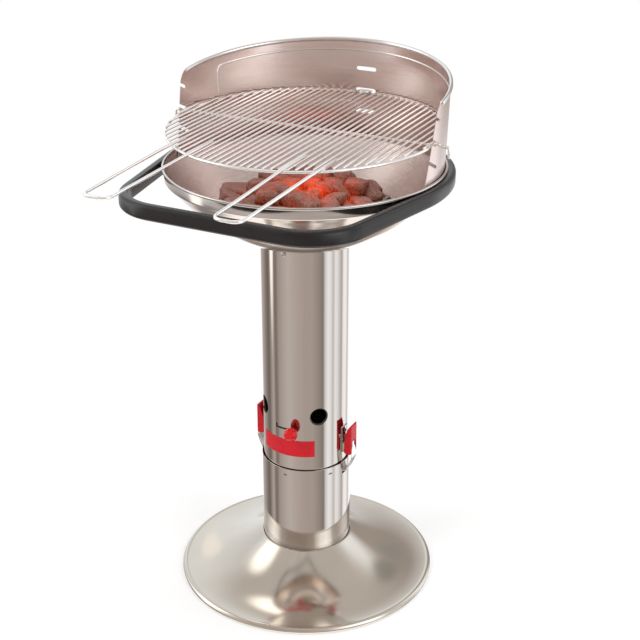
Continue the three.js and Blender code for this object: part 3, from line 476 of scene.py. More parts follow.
bar_black = moulded("bar_black", (0.008, 0.006, 0.006), (0.005, 0.004, 0.004), (0.24, 0.3), 900.0, 0.03)
clip_red = moulded("clip_red", (0.56, 0.01, 0.018), (0.48, 0.007, 0.014), (0.24, 0.32), 500.0, shine=0.2)
knob_red = moulded("knob_red", (0.66, 0.004, 0.008), (0.5, 0.003, 0.006), (0.02, 0.05), 400.0)
plate_red = moulded("plate_red", (0.58, 0.01, 0.02), (0.53, 0.009, 0.017), (0.4, 0.5), 600.0, shine=0.2)
print("plastics:", bar_black.name, clip_red.name, knob_red.name, plate_red.name)

# %% [markdown]
# ## The foot
# The foot is a trumpet of sheet steel with its edge rolled into a bead. Its slope falls steeply at
# the flange and runs out nearly level, which a power of the distance gives with one number.

# %% Foot
FOOT_TOP, FLANGE_BORE, FLANGE_RADIUS, FLANGE_BOTTOM = 76.0, 85.1, 86.4, 54.0
BEAD_CENTRE, BEAD_RADIUS, FOOT_SHEET, STEEPNESS = np.array([239.5, 5.63]), 6.5, 1.5, 1.9
bead = arc(BEAD_CENTRE, BEAD_RADIUS, 112, -212, 40)
bead[:, 1] = np.maximum(bead[:, 1], 0.0)
share = np.linspace(0, 1, 70)[:-1]
join_radius, join_height = bead[0]
flare = np.stack([
    FLANGE_RADIUS + (join_radius - FLANGE_RADIUS) * share,
    join_height + (FOOT_TOP - join_height) * (1 - share) ** STEEPNESS,
], -1)
underside = offset(flare, FOOT_SHEET)
underside = underside[(underside[:, 0] > FLANGE_RADIUS + 0.2) & (underside[:, 0] < bead[-1, 0] - 0.5)]
foot_profile = np.concatenate([
    [[FLANGE_BORE, FLANGE_BOTTOM], [FLANGE_BORE, FOOT_TOP - 0.4], [FLANGE_BORE + 0.4, FOOT_TOP]],
    flare, bead, underside[::-1], [[FLANGE_RADIUS, underside[0, 1] - 0.3], [FLANGE_RADIUS, FLANGE_BOTTOM]],
])
piece("foot_trumpet", turned(foot_profile, 240), foot_steel, "stand", ["foot"], 50)

# %% [markdown]
# ## The column
# The upper tube slides into the lower one and rests on six tabs that are pressed in from the lower
# tube's wall. Both are thin walls, so each is a pierced grid with an outside and an inside. The inside
# is near black, soot and painted shade, and that is what makes the air holes look dark. The grid's own
# seam lies at the back left, where neither tube has an opening.


# %% Tube walls
SEAM_OPPOSITE = -62.0


def tube(radius, columns, heights, distance):
    """A pierced wall: the outside at the radius, the inside one sheet further in."""
    x, z = np.meshgrid(np.linspace(-np.pi, np.pi, columns + 1) * radius, heights)
    x, z, faces = pierced(x, z, distance)
    return shell(*[around(r, x / radius, z, SEAM_OPPOSITE) for r in (radius, radius - SHEET)], faces)


def column_tube(name, radius, columns, heights, distance, stands_for):
    """A tube of polished steel whose inside is near black: soot and painted shade."""
    shape = tube(radius, columns, heights, distance)
    made = piece(name, shape, column_steel, "stand", stands_for)
    made.data.materials.append(soot_and_painted_shade)
    centre = of_faces(made, "center") - AXIS
    coat_faces(made, np.hypot(centre[:, 0], centre[:, 1]) < (radius - 0.75 * SHEET) * MM)


def from_angle(radius, degrees):
    """The unrolled place of an angle that is counted from the right-hand side."""
    return radius * np.radians((degrees - SEAM_OPPOSITE + 180) % 360 - 180)


def spaced(*stretches):
    """The heights of a grid's rows: each stretch has its own spacing, which is fine at openings."""
    return np.concatenate([np.linspace(*stretch) for stretch in stretches])


# %% Lower tube with its tab slits and hook slots
LOWER_RADIUS, LOWER_BOTTOM, LOWER_TOP = 84.4, 54.0, 250.0
TAB_ANGLES, TAB_HEIGHT, TAB_HALVES = range(-90, 270, 60), 237.6, (4.0, 1.6)
HOOK_SLOT_ANGLES, HOOK_SLOT_HEIGHT, HOOK_SLOT_HALVES = (0, 180), 227.6, (13.0, 2.9)


def lower_openings(x, z):
    """The least distance from the six tab slits and the two hook slots."""
    cuts = [(a, TAB_HEIGHT, *TAB_HALVES) for a in TAB_ANGLES]
    cuts += [(a, HOOK_SLOT_HEIGHT, *HOOK_SLOT_HALVES) for a in HOOK_SLOT_ANGLES]
    return np.minimum.reduce([
        slot_distance(x - from_angle(LOWER_RADIUS, a), z - height, *halves) for a, height, *halves in cuts
    ])


lower_rows = spaced((LOWER_BOTTOM, 224, 40), (225, 241, 18), (242, LOWER_TOP, 4))
column_tube("lower_tube_wall", LOWER_RADIUS, 288, lower_rows, lower_openings, ["lower_tube"])


def tab(angle):
    """A bent tongue under a slit: its side view carried across, both ends closed at their middle."""
    top = np.array([[79.6, 236.7], [82.6, 236.7], [83.3, 236.2], [83.8, 235.0]])
    section = np.concatenate([top, offset(top, SHEET)[::-1]])
    across = np.linspace(-4.5, 4.5, 7)
    points = np.stack(np.broadcast_arrays(section[:, :1], across, section[:, 1:]), -1)
    ends = np.broadcast_to(points.mean(0, keepdims=True), points.shape)
    points = np.concatenate([ends[:, :1], points, ends[:, -1:]], 1)
    c, s = np.cos(np.radians(angle)), np.sin(np.radians(angle))
    points = points.reshape(-1, 3) @ np.array([[c, s, 0], [-s, c, 0], [0, 0, 1]])
    points, faces = welded(points, [grid_faces(len(section), len(across) + 2, True, False)])
    return points, outwards(points, faces)


piece("lower_tube_tabs", gathered([tab(a) for a in TAB_ANGLES]), column_steel, "stand", ())

# %% Upper tube with its air holes and the damper's slot
UPPER_RADIUS, UPPER_BOTTOM, UPPER_TOP = 81.1, 237.0, 689.7
AIR_ANGLES, AIR_HEIGHT, AIR_RADIUS = (-135, -45, 45, 135), 361.5, 17.5
PIN_ANGLE, PIN_TRAVEL, PIN_HEIGHT = -79.0, 25.0, 334.0
RUN_PLAY, RUN_HALF, RISE_SHIFT, RISE_LIFT, RISE_HALVES = 2.7, 1.9, 0.4, 2.8, (4.9, 2.2)


def air_holes(x, z, tube_radius, hole_radius):
    """The distances from four round holes, which stand at the same height."""
    return [np.hypot(x - from_angle(tube_radius, a), z - AIR_HEIGHT) - hole_radius for a in AIR_ANGLES]


def upper_openings(x, z):
    """The least distance from four round holes and from a slot whose closed end turns up."""
    first = from_angle(UPPER_RADIUS, PIN_ANGLE - PIN_TRAVEL)
    last = from_angle(UPPER_RADIUS, PIN_ANGLE)
    half_run = (last - first) / 2 + RUN_PLAY
    run = slot_distance(x - (first + last) / 2, z - PIN_HEIGHT, half_run, RUN_HALF)
    rise = slot_distance(x - first + RISE_SHIFT, z - PIN_HEIGHT - RISE_LIFT, *RISE_HALVES, np.pi / 2)
    return np.minimum.reduce(air_holes(x, z, UPPER_RADIUS, AIR_RADIUS) + [run, rise])


upper_rows = spaced((UPPER_BOTTOM, 328, 20), (329.5, 343.5, 15), (345, 381, 22), (384, UPPER_TOP, 50))
column_tube("upper_tube_wall", UPPER_RADIUS, 300, upper_rows, upper_openings, ["upper_tube"])

# %% [markdown]
# ## The damper
# A sleeve inside the upper tube has four holes of its own. Its pin runs in the slot, and the knob on
# it is a faceted ball: few rows and columns, and every edge between them stays sharp.

# %% Damper sleeve
SLEEVE_RADIUS, SLEEVE_BOTTOM, SLEEVE_TOP, SLEEVE_HOLE = 79.3, 325.0, 395.0, 15.5


def sleeve_openings(x, z):
    """The least distance from the sleeve's four holes."""
    return np.minimum.reduce(air_holes(x, z, SLEEVE_RADIUS, SLEEVE_HOLE))


sleeve_shape = tube(SLEEVE_RADIUS, 240, np.linspace(SLEEVE_BOTTOM, SLEEVE_TOP, 40), sleeve_openings)
piece("damper_sleeve_wall", sleeve_shape, soot_and_painted_shade, "damper", ["damper_sleeve"])


# %% Damper pin and knob
def on_radius(profile, angle, height, segments=24):
    """A profile of (radius, distance from the column) turned about a line that leaves the column."""
    points, faces = turned(profile, segments)
    across, up, out = points[:, 0], points[:, 1], points[:, 2]
    c, s = np.cos(np.radians(angle)), np.sin(np.radians(angle))
    points = np.stack([out * c - across * s, out * s + across * c, up + height], -1)
    return points, outwards(points, faces)


KNOB_MIDDLE, KNOB_RADIUS, KNOB_HALF = 98.6, 13.1, 9.0
pin_profile = [[0, 74.9], [4.0, 74.9], [4.2, 75.2], [4.2, 77.2], [1.7, 77.5], [1.7, 94.0], [0, 94.0]]
pin_shape = on_radius(pin_profile, PIN_ANGLE, PIN_HEIGHT)
piece("damper_pin_turned", pin_shape, screw_steel, "damper", ["damper_pin"])
a = np.radians(np.linspace(-90, 90, 11))
knob_out = KNOB_MIDDLE + KNOB_HALF * np.sign(np.sin(a)) * np.abs(np.sin(a)) ** 0.85
knob_profile = np.stack([KNOB_RADIUS * np.abs(np.cos(a)) ** 0.72, knob_out], -1)
knob_profile[[0, -1], 0] = 0
knob_shape = on_radius(knob_profile, PIN_ANGLE, PIN_HEIGHT, 20)
piece("damper_knob_ball", knob_shape, knob_red, "damper", ["damper_knob"], 4)

# %% [markdown]
# ## The bowl
# The bowl is spun from one sheet: a neck that fits the column, a curve, a crease, an upright band and
# a bead rolled round the rim. A lathe profile is the natural way to draw it. Its inside is duller than
# its outside, and lighter and pinker: painted light and glow of the fire. A belt below the crease is
# browner, a painted warm reflection.

# %% Bowl
NECK_RADIUS, NECK_BOTTOM, BOWL_BASE, CREASE_RADIUS, CREASE_HEIGHT = 79.6, 665.0, 690.0, 243.0, 802.0
BAND_RADIUS, RIM_CENTRE, RIM_RADIUS, CREASE_BEND = 246.6, np.array([247.6, 823.5]), 2.5, 4.8
# The two heights after the rim's sizes bound the browner belt, a painted warm reflection.
REFLECTION_LOW, REFLECTION_HIGH, CURVE_POWER = 733.0, 775.0, 1.75
share = np.linspace(0, 1, 60)
bowl_curve = np.stack([
    NECK_RADIUS + (CREASE_RADIUS - NECK_RADIUS) * share,
    BOWL_BASE + (CREASE_HEIGHT - BOWL_BASE) * share**CURVE_POWER,
], -1)
crease = arc((BAND_RADIUS - CREASE_BEND, CREASE_HEIGHT + CREASE_BEND), CREASE_BEND, -42, 0, 8)
rim = arc(RIM_CENTRE, RIM_RADIUS, -114, 204, 28)
outside = np.concatenate([
    [[NECK_RADIUS, NECK_BOTTOM], [NECK_RADIUS, BOWL_BASE - 2]], bowl_curve[1:-1], crease,
    [[BAND_RADIUS, 812.0], [BAND_RADIUS, 820.5]],
])
bowl_profile = np.concatenate([outside, rim, offset(outside, -SHEET)[::-1]])
bowl = piece("bowl_spun", turned(bowl_profile, 288), bowl_steel, "stand", ["bowl"], 40)
bowl.data.materials.append(bowl_inside_painted_light)
bowl.data.materials.append(bowl_below_painted_reflection)
facing, middle = of_faces(bowl, "normal"), (of_faces(bowl, "center") - AXIS) / MM
inwards = (facing[:, :2] * middle[:, :2]).sum(1) < 0
inner_faces = inwards & (middle[:, 2] < RIM_CENTRE[1] - RIM_RADIUS)
# A belt on the outside below the crease gets the browner finish, a painted warm reflection.
painted_reflection_faces = ~inwards & (middle[:, 2] > REFLECTION_LOW) & (middle[:, 2] < REFLECTION_HIGH)
coat_faces(bowl, inner_faces + 2 * painted_reflection_faces)
print("faces inside the bowl:", int(inner_faces.sum()), "tinted outside:", int(painted_reflection_faces.sum()))

# %% [markdown]
# ## The handle bar
# The bar hugs the sides of the bowl and stands clear of its front, so a hand can pull it. Its
# section has large rounds outside and small ones inside. It could be a curve with a bevel object, but
# a section carried along the path keeps the same side out all the way.

# %% Handle bar
BAR_WIDTH, BAR_TALL, BAR_HEIGHT, BAR_CORNER, BAR_REACH = 15.5, 27.0, 807.0, 97.0, 306.0
BAR_RADIUS, WRAP, TAIL = 255.4, 11, 45
lean = np.radians(WRAP)
touch = BAR_RADIUS * np.array([np.cos(lean), -np.sin(lean)])
run = np.array([-np.sin(lean), -np.cos(lean)])
corner = touch + run * (-BAR_REACH - touch[1]) / run[1]
cut_back = BAR_CORNER * np.tan((np.pi / 2 - lean) / 2)
bend_centre = np.array([corner[0] - cut_back, -BAR_REACH + BAR_CORNER])
bend = arc(bend_centre, BAR_CORNER, -WRAP, -90, 40)
half = np.concatenate([
    arc((0, 0), BAR_RADIUS, TAIL, -WRAP, 40),
    touch + np.outer(np.linspace(0.08, 0.92, 14), bend[0] - touch),
    bend,
    np.stack([np.linspace(bend_centre[0] * 0.9, bend_centre[0] * 0.1, 8), np.full(8, -BAR_REACH)], -1),
])
bar_path = np.concatenate([half, half[::-1] * [-1, 1]])
bar_path = np.concatenate([bar_path, np.full((len(bar_path), 1), BAR_HEIGHT)], 1)


def rounded_section(width, height, outer, inner, steps=8):
    """A rectangle whose four corners are arcs: large on the side away from the bowl, small next to it."""
    x, y = width / 2, height / 2
    return np.concatenate([
        arc((-x + outer, y - outer), outer, 90, 180, steps),
        arc((-x + outer, -y + outer), outer, 180, 270, steps),
        arc((x - inner, -y + inner), inner, 270, 360, steps),
        arc((x - inner, y - inner), inner, 0, 90, steps),
    ])


END_EASE, OUTER_ROUND, INNER_ROUND = 2.0, 7.0, 2.0
bar_route, bar_scale = rounded_ends(bar_path, END_EASE)
bar_section = rounded_section(BAR_WIDTH, BAR_TALL, OUTER_ROUND, INNER_ROUND)
bar_shape = swept(bar_route, bar_section, (0, 0, 1), bar_scale)
piece("handle_bar_round", bar_shape, bar_black, "stand", ["handle_bar"])
print("bar path:", len(bar_path), "points, corner at", corner.round(1))

# %% [markdown]
# ## The wind shield
# One sheet stands inside the rim round the back half. Its top sinks from the back to the ends, each
# end has three slits that the grill's cross wire drops into, and the back has three slots for the
# grill's hook. The sheet is a grid from end to end, so the holes are pierced in it like the tubes'.

# %% Shield sizes and openings
SHIELD_RADIUS, SHIELD_BOTTOM, BACK_TALL, END_TALL = 243.4, 807.1, 186.0, 151.0
END_REACH, END_SLANT, CORNER, FLARE = 0.7, 0.052, 18.0, 6.0
SHIELD_WALL, SEAT_BACK, SLIT_SLOPE, SLIT_HALF_RUN = 1.0, 4.0, np.radians(27), 23.0
SLIT_HALVES, SLOT_HALVES = (25.8, 2.8), (20.0, 3.7)
LOW_SEAT, LOW_SLOT, SEAT_STEP = 42, 50, 40
SEATS = [SHIELD_BOTTOM + LOW_SEAT + SEAT_STEP * k for k in range(3)]
SLOTS = [SHIELD_BOTTOM + LOW_SLOT + SEAT_STEP * k for k in range(3)]


def flared(radius, z):
    """The wall leans out evenly with height, by FLARE at the height of its back."""
    return radius + FLARE * (z - SHIELD_BOTTOM) / BACK_TALL


def shield_top(angle):
    """The height of the top edge: it sinks as the square of the angle from the back."""
    return SHIELD_BOTTOM + BACK_TALL - (BACK_TALL - END_TALL) * ((angle - 90) / 90) ** 2


def shield_openings(x, z):
    """The least distance from the slots at the back and the sloping slits at both ends."""
    slots = [slot_distance(x, z - height, *SLOT_HALVES) for height in SLOTS]
    along = np.abs(x) - SHIELD_RADIUS * np.pi / 2 + SEAT_BACK - SLIT_HALF_RUN * np.cos(SLIT_SLOPE)
    up = z - SLIT_HALF_RUN * np.sin(SLIT_SLOPE)
    slits = [slot_distance(along, up - height, *SLIT_HALVES, SLIT_SLOPE) for height in SEATS]
    return np.minimum.reduce(slots + slits)


print("seats at", np.round(SEATS, 1), "and slots at", np.round(SLOTS, 1), "mm")

# %% Shield sheet
across = np.sin(np.linspace(-1, 1, 321) * np.pi / 2)
rise = np.linspace(0, 1, 97)[:, None]
half_turn = 90 + END_REACH
from_end = (1 - np.abs(across)) * np.radians(half_turn) * SHIELD_RADIUS
into_corner = np.clip(CORNER - from_end, 0, CORNER)
top_edge = shield_top(90 + half_turn * across) - (CORNER - np.sqrt(CORNER**2 - into_corner**2))
shield_z = SHIELD_BOTTOM + rise * (top_edge - SHIELD_BOTTOM)
slanted = half_turn + (SHIELD_BOTTOM + END_TALL - shield_z) * END_SLANT
shield_x = SHIELD_RADIUS * np.radians(slanted * across)
shield_x, shield_z, shield_faces = pierced(shield_x, shield_z, shield_openings)
shield_walls = [
    around(flared(r, shield_z), shield_x / SHIELD_RADIUS, shield_z, 90)
    for r in (SHIELD_RADIUS, SHIELD_RADIUS - SHIELD_WALL)
]
shield_shape = shell(*shield_walls, shield_faces)
piece("wind_shield_sheet", shield_shape, shield_painted_glow_steel, "wind_shield", ["wind_shield"])

# %% [markdown]
# The shield's top edge is rolled over into a hem, and a fine pressed line follows it inside. Both are
# sections carried along the edge, so they follow it exactly.

# %% Hem
def on_shield(degrees, z, inset=0.0):
    """Places on the shield's outside, or a little inside it, from angles and heights."""
    a, r = np.radians(degrees), flared(SHIELD_RADIUS - inset, z)
    return np.stack([r * np.cos(a), r * np.sin(a), z], -1)


HEM_END, HEM_DROP, HEM_EASE, HEM_HALVES = 2.6, 4.1, 1.5, (3.6, 4.0)
hem_angles = np.linspace(HEM_END, 180 - HEM_END, 200)
hem_route, hem_scale = rounded_ends(on_shield(hem_angles, shield_top(hem_angles) - HEM_DROP), HEM_EASE)
hem_shape = swept(hem_route, circle(1.0, 20) * HEM_HALVES, (0, 0, 1), hem_scale)
piece("wind_shield_hem", hem_shape, hem_painted_highlight_steel, "wind_shield", ())

# %% Pressed line
LINE_END, LINE_DROP, LINE_TURN, LINE_BEND, LINE_LOW = 21.4, 22.5, 2.4, 10, 60
LINE_INSET, LINE_HALVES = 1.1, (1.6, 1.3)
line_angles = np.linspace(LINE_END, 180 - LINE_END, 181)
line_turn = np.clip(np.minimum(line_angles - LINE_END, 180 - LINE_END - line_angles) / LINE_TURN, 0, 1)
line_height = shield_top(line_angles) - LINE_DROP - LINE_BEND * (1 - np.sqrt(1 - (1 - line_turn) ** 2))
leg_height = np.linspace(SHIELD_BOTTOM + LINE_LOW, line_height[0] - 1, 20)
line_all = np.concatenate([
    np.stack([np.full(20, LINE_END), leg_height], -1), np.stack([line_angles, line_height], -1),
    np.stack([np.full(20, 180 - LINE_END), leg_height[::-1]], -1),
])
line_path = on_shield(line_all[:, 0], line_all[:, 1], LINE_INSET)
line_route, line_scale = rounded_ends(line_path, 1.0)
line_up = unit(line_route * [1, 1, 0])
line_shape = swept(line_route, circle(1.0, 10) * LINE_HALVES, line_up, line_scale)
piece("wind_shield_line", line_shape, hem_painted_highlight_steel, "wind_shield", ())

# %% [markdown]
# ## The cooking grill
# Thirty-nine bars lie on a ring. A cross wire under them carries the grill: it rises in a small hump
# where it lies in the shield's slits and turns down outside. Two bars run on at the back as a hook,
# and two long loops in front are the grips. The grill is drawn level and then tilted, as it hangs.

# %% Grill sizes and wires
HUMP, WIRE_HEIGHT, UP = 3.0, SEATS[1] - 3.0, (0, 0, 1)
BAR_WIRE, RING_WIRE, RING_PLAY, PITCH, BAR_LEVEL = 2.0, 2.5, 2.0, 12.5, 4.8
HOOK_PLAY, HOOK_REACH, HOOK_START, HOOK_BEND = 0.9, 3, 210, 5.0
WELD_SINK, BAR_OVERRUN, RING_GAP = 0.8, 1.5, 3.0
HOOK_HEIGHT = SLOTS[1] - SLOT_HALVES[1] + HOOK_PLAY + BAR_WIRE
TILT = np.arctan2(HOOK_HEIGHT - WIRE_HEIGHT - BAR_LEVEL, SHIELD_RADIUS - SEAT_BACK)
SHIELD_INSIDE = flared(SHIELD_RADIUS - SHIELD_WALL, SEATS[1])
RING = SHIELD_INSIDE - RING_PLAY - RING_WIRE


def hung(shape):
    """A level shape turned by the tilt about the cross wire, which lies along X."""
    points, faces = shape
    y, z = points[:, 1], points[:, 2]
    turned_y = y * np.cos(TILT) - z * np.sin(TILT) + SEAT_BACK
    turned_z = y * np.sin(TILT) + z * np.cos(TILT) + WIRE_HEIGHT
    return np.stack([points[:, 0], turned_y, turned_z], -1), faces


def straight_wire(x, half_length, z, radius, count, back=0.0):
    """A wire along Y at the given x and height; back says how far its middle lies in front of 0."""
    y = np.linspace(-half_length, half_length, count) - back
    return wire(np.stack([np.full(count, x), y, np.full(count, z)], -1), radius, UP)


def level_arc(radius, degrees, z, back=0.0):
    """Places on a level arc: (r cos a, r sin a - back, z)."""
    a = np.radians(degrees)
    return np.stack([radius * np.cos(a), radius * np.sin(a) - back, np.full(len(a), z)], -1)


def bar(x):
    """One straight bar that just passes over the ring at both ends."""
    half_length = np.sqrt((RING + BAR_OVERRUN) ** 2 - (abs(x) + BAR_WIRE) ** 2)
    return straight_wire(x, half_length, BAR_LEVEL, BAR_WIRE, 6, SEAT_BACK)


def ring_arc(start, end):
    """A half of the ring, welded under the bars, which stops where the cross wire passes."""
    level = BAR_LEVEL - BAR_WIRE - RING_WIRE + WELD_SINK
    return wire(level_arc(RING, np.linspace(start, end, 120), level, SEAT_BACK), RING_WIRE, UP)


print("the grill hangs tilted by", np.degrees(TILT).round(2), "degrees; its ring's radius is", round(RING, 1))

# %% Bars, ring and hook
bars = [bar(PITCH * k) for k in range(-19, 20)]
gap_front, gap_back = np.degrees(np.arcsin((SEAT_BACK + RING_GAP * np.array([-1, 1])) / RING))
rings = [ring_arc(gap_back, 180 - gap_back), ring_arc(180 - gap_front, 360 + gap_front)]
hook_y = flared(SHIELD_RADIUS, SLOTS[1]) + HOOK_REACH - BAR_WIRE - SEAT_BACK
hook_corners = [
    (-PITCH, HOOK_START, BAR_LEVEL), (-PITCH, hook_y, BAR_LEVEL),
    (PITCH, hook_y, BAR_LEVEL), (PITCH, HOOK_START, BAR_LEVEL),
]
hook = wire(rounded_path(hook_corners, HOOK_BEND), BAR_WIRE, UP)
grill_shape = hung(gathered(bars + rings + [hook]))
piece("cooking_grill_wires", grill_shape, wire_steel, "grill", ["cooking_grill"])

# %% Cross wire
CROSS_WIRE, CROSS_REACH, CROSS_DROP, HUMP_LEAD, HUMP_RUN = 2.5, 267, 20, 2.8, 6.3
flat_start = SHIELD_INSIDE - HUMP_LEAD
flat_end = flat_start + HUMP_RUN
hump = [
    (flat_start - 2, 0, 0), (flat_start, 0, HUMP),
    (flat_end, 0, HUMP), (flat_end + 2, 0, 0), (flat_end + 4, 0, 0),
]
half_wire = rounded_path([(200, 0, 0)] + hump, 1.2, 5)
wire_end = rounded_path([(flat_end + 5, 0, 0), (CROSS_REACH, 0, 0), (CROSS_REACH, 0, -CROSS_DROP)], 5.5, 10)
half_wire = np.concatenate([[(100, 0, 0)], half_wire, wire_end])
cross_path = np.concatenate([half_wire[::-1] * [-1, 1, 1], half_wire])
cross = hung(wire(cross_path, CROSS_WIRE, (0, 1, 0), 14))
piece("grill_cross_wire_bent", cross, wire_steel, "grill", ["grill_cross_wire"])


# %% Grips
GRIP_WIRE, GRIP_WIDTH, GRIP_START, GRIP_LEAVE, GRIP_END = 2.7, 53.0, -160.0, -244.0, -458.0
GRIP_DRAW, GRIP_SINK, GRIP_PLAY, GRIP_BEND = 3.0, 6.0, 0.3, 17.0


def grip(side):
    """A loop: two legs that draw in a little towards the hand and sink past the ring, with two bends."""
    inner, spacing, near = side * 7 * PITCH, side * GRIP_WIDTH, side * GRIP_DRAW
    level = BAR_LEVEL + BAR_WIRE + GRIP_PLAY + GRIP_WIRE
    end = (GRIP_END + GRIP_WIRE - SEAT_BACK, level - GRIP_SINK)
    start, leave = (GRIP_START - SEAT_BACK, level), (GRIP_LEAVE, level)
    legs = [(inner, *start), (inner, *leave), (inner + near, *end)]
    legs += [(2 * inner + spacing - x, y, z) for x, y, z in legs[::-1]]
    return hung(wire(rounded_path(legs, GRIP_BEND, 14), GRIP_WIRE, UP, 16))


for side, word in ((1, "right"), (-1, "left")):
    piece(f"grill_grip_{word}_loop", grip(side), wire_steel, "grill", [f"grill_grip_{word}"])

# %% [markdown]
# ## The charcoal and its grate
# The grate's ring rests on the slope of the bowl. The charcoal on it is a heap of blunt lumps. Each
# lump is a ball whose corners are pushed out and whose skin is dented by a few waves, all worked out
# for every lump at once. The fire is hottest in the middle of the heap, low down, and where one lump
# lies deep in another, so a heat is worked out for each point and the finish reads it.

# %% Charcoal grate
GRATE_RADIUS, GRATE_WIRE, GRATE_BAR_WIRE, GRATE_PITCH = 168.0, 3.0, 2.5, 26.0
grate_low, grate_high = (np.array(corner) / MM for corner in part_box("charcoal_grate"))
grate_z = grate_low[2] + GRATE_WIRE
grate_bar_z = grate_z + GRATE_WIRE + GRATE_BAR_WIRE - WELD_SINK
grate_path = level_arc(GRATE_RADIUS, np.linspace(0, 360, 181)[:-1], grate_z)
grate_shapes = [swept(grate_path, circle(GRATE_WIRE, 12), UP, closed=True)]
for x in GRATE_PITCH * np.arange(-6, 7):
    half_length = np.sqrt(GRATE_RADIUS**2 - x**2)
    grate_shapes.append(straight_wire(x, half_length, grate_bar_z, GRATE_BAR_WIRE, 4))
grate_shape = gathered(grate_shapes)
piece("charcoal_grate_wires", grate_shape, screw_steel, "charcoal_grate", ["charcoal_grate"])

# %% The lumps' sizes and places
rng = np.random.default_rng(11)
LOWER_LUMPS, UPPER_LUMPS, LOWER_SPREAD, UPPER_SPREAD = 42, 21, 136.0, 94.0
BLUNTNESS, GOLDEN_ANGLE = 0.52, 137.5
LUMPS = LOWER_LUMPS + UPPER_LUMPS
upper = np.arange(LUMPS) >= LOWER_LUMPS
number = np.where(upper, np.arange(LUMPS) - LOWER_LUMPS, np.arange(LUMPS))
reach = np.sqrt((number + 0.5) / np.where(upper, UPPER_LUMPS, LOWER_LUMPS))
spot = np.radians(GOLDEN_ANGLE * number + 70 * upper)
size = np.stack([rng.uniform(20, 36, LUMPS), rng.uniform(13, 20, LUMPS), rng.uniform(12, 17, LUMPS)], -1)
heap_bottom = grate_high[2] + 0.3
spot_radius = np.where(upper, UPPER_SPREAD, LOWER_SPREAD) * reach
spot_height = np.where(upper, 36 - 6 * reach**2, 14) + rng.uniform(-2, 4, LUMPS)
centre = np.stack([spot_radius * np.cos(spot), spot_radius * np.sin(spot), heap_bottom + spot_height], -1)
yaw, pitch = rng.uniform(0, TURN, LUMPS), rng.uniform(-0.35, 0.35, LUMPS)
u, v = np.meshgrid(np.linspace(0, np.pi, 27), np.linspace(0, TURN, 37)[:-1], indexing="ij")
ball = np.stack([np.cos(u), np.sin(u) * np.cos(v), np.sin(u) * np.sin(v)], -1)
blunt = np.sign(ball) * np.abs(ball) ** BLUNTNESS
print("lumps:", LUMPS, "largest half sizes", size.max(0).round(1))


# %% The lumps' skin and turns
def waves(count, frequency, height):
    """Dents for every lump: the sum of sines of the place on the ball along random directions."""
    ways = rng.uniform(-frequency, frequency, (LUMPS, count, 3))
    phase = rng.uniform(0, TURN, (LUMPS, count))
    return np.sin(np.einsum("lwk,uvk->luvw", ways, ball) + phase[:, None, None]).sum(-1) * height


dent = waves(5, 2.8, 0.055) + waves(8, 9.0, 0.012)
local = blunt * (1 + dent[..., None]) * size[:, None, None]
along = blunt[..., 0]
local[..., 1:] *= 1 + rng.uniform(-0.3, 0.3, (LUMPS, 1, 1, 1)) * along[..., None]
local[..., 1] += rng.uniform(-0.35, 0.35, (LUMPS, 1, 1)) * (along**2 - 0.4) * size[:, None, None, 1]
cy, sy, cp, sp = np.cos(yaw), np.sin(yaw), np.cos(pitch), np.sin(pitch)
turns = np.stack([cy * cp, -sy, cy * sp, sy * cp, cy, sy * sp, -sp, 0 * cp, cp], -1).reshape(-1, 3, 3)
heap = np.einsum("lij,luvj->luvi", turns, local) + centre[:, None, None]
heap[..., 2] = np.maximum(heap[..., 2], heap_bottom)
cell = grid_faces(*ball.shape[:2], False, True)
lump_shapes = [welded(points.reshape(-1, 3), [cell], 3) for points in heap]
heap_shape = gathered([(points, outwards(points, faces)) for points, faces in lump_shapes])
print("heap points:", len(heap_shape[0]), "top at", heap_shape[0][:, 2].max().round(1), "mm")

# %% Heat, ash and painted shade of each point
HEAT_MIDDLE, HEAT_REACH, LOW_BAND = (14, -14), (105.0, 74.0), 30
heap_points = heap_shape[0]
owner = np.repeat(np.arange(LUMPS), [len(points) for points, faces in lump_shapes])
into = np.einsum("lji,plj->pli", turns, heap_points[:, None] - centre[None]) / size
nearness = np.sort(np.linalg.norm(into, axis=-1), axis=1)[:, 1]
low_side = np.clip((heap_bottom + LOW_BAND - heap_points[:, 2]) / LOW_BAND, 0, 1)
core = np.exp(-(((heap_points[:, :2] - HEAT_MIDDLE) / HEAT_REACH) ** 2).sum(1))
depth = np.clip((1.7 - nearness) / 0.7, 0, 1)
heat = 0.35 * depth * core + 0.12 * low_side + 0.72 * core + rng.uniform(-0.16, 0.2, LUMPS)[owner]
# Higher on each lump there is more ash: partly real ash, partly painted light on the tops. Gaps away from the
# middle lose it and turn dark: painted shade.
ash_and_painted_shade = 0.72 + 0.4 * (heap_points[:, 2] - centre[owner, 2]) / size[owner, 2] - 0.55 * np.clip(heat, 0, 1)
ash_and_painted_shade = np.clip(ash_and_painted_shade - 0.4 * depth * (1 - core), 0, 1)
print("heat from", heat.min().round(2), "to", heat.max().round(2), "ash on average", ash_and_painted_shade.mean().round(2))

# %% [markdown]
# ### Burning charcoal
# Lit charcoal has grey-mauve ash, brown flanks, and glows orange-red in the middle of the heap and
# in the gaps, where it can't cool. The tops are lighter, partly from ash and partly as painted light
# from above, and gaps away from the middle are darker, as painted shade. The ash with that painted
# shade and the heat are kept with every point, so the finish only has to mix its colours by them and
# by some noise. The heat is stored as warmth, because the renderer keeps the name heat for its own use.

# %% Charcoal finish
coal, tree, shader = material("burning_coal", (0.3, 0.2, 0.2), 0.85)


def kept(name):
    """A number that is stored with every point."""
    return add(tree, "Attribute", attribute_name=name).outputs["Fac"]


def added(first, second, factor, start):
    """first + (second * factor + start)"""
    spread = add(tree, "Math", {0: second, 1: factor, 2: start}, operation="MULTIPLY_ADD").outputs[0]
    return add(tree, "Math", {0: first, 1: spread}, operation="ADD").outputs[0]


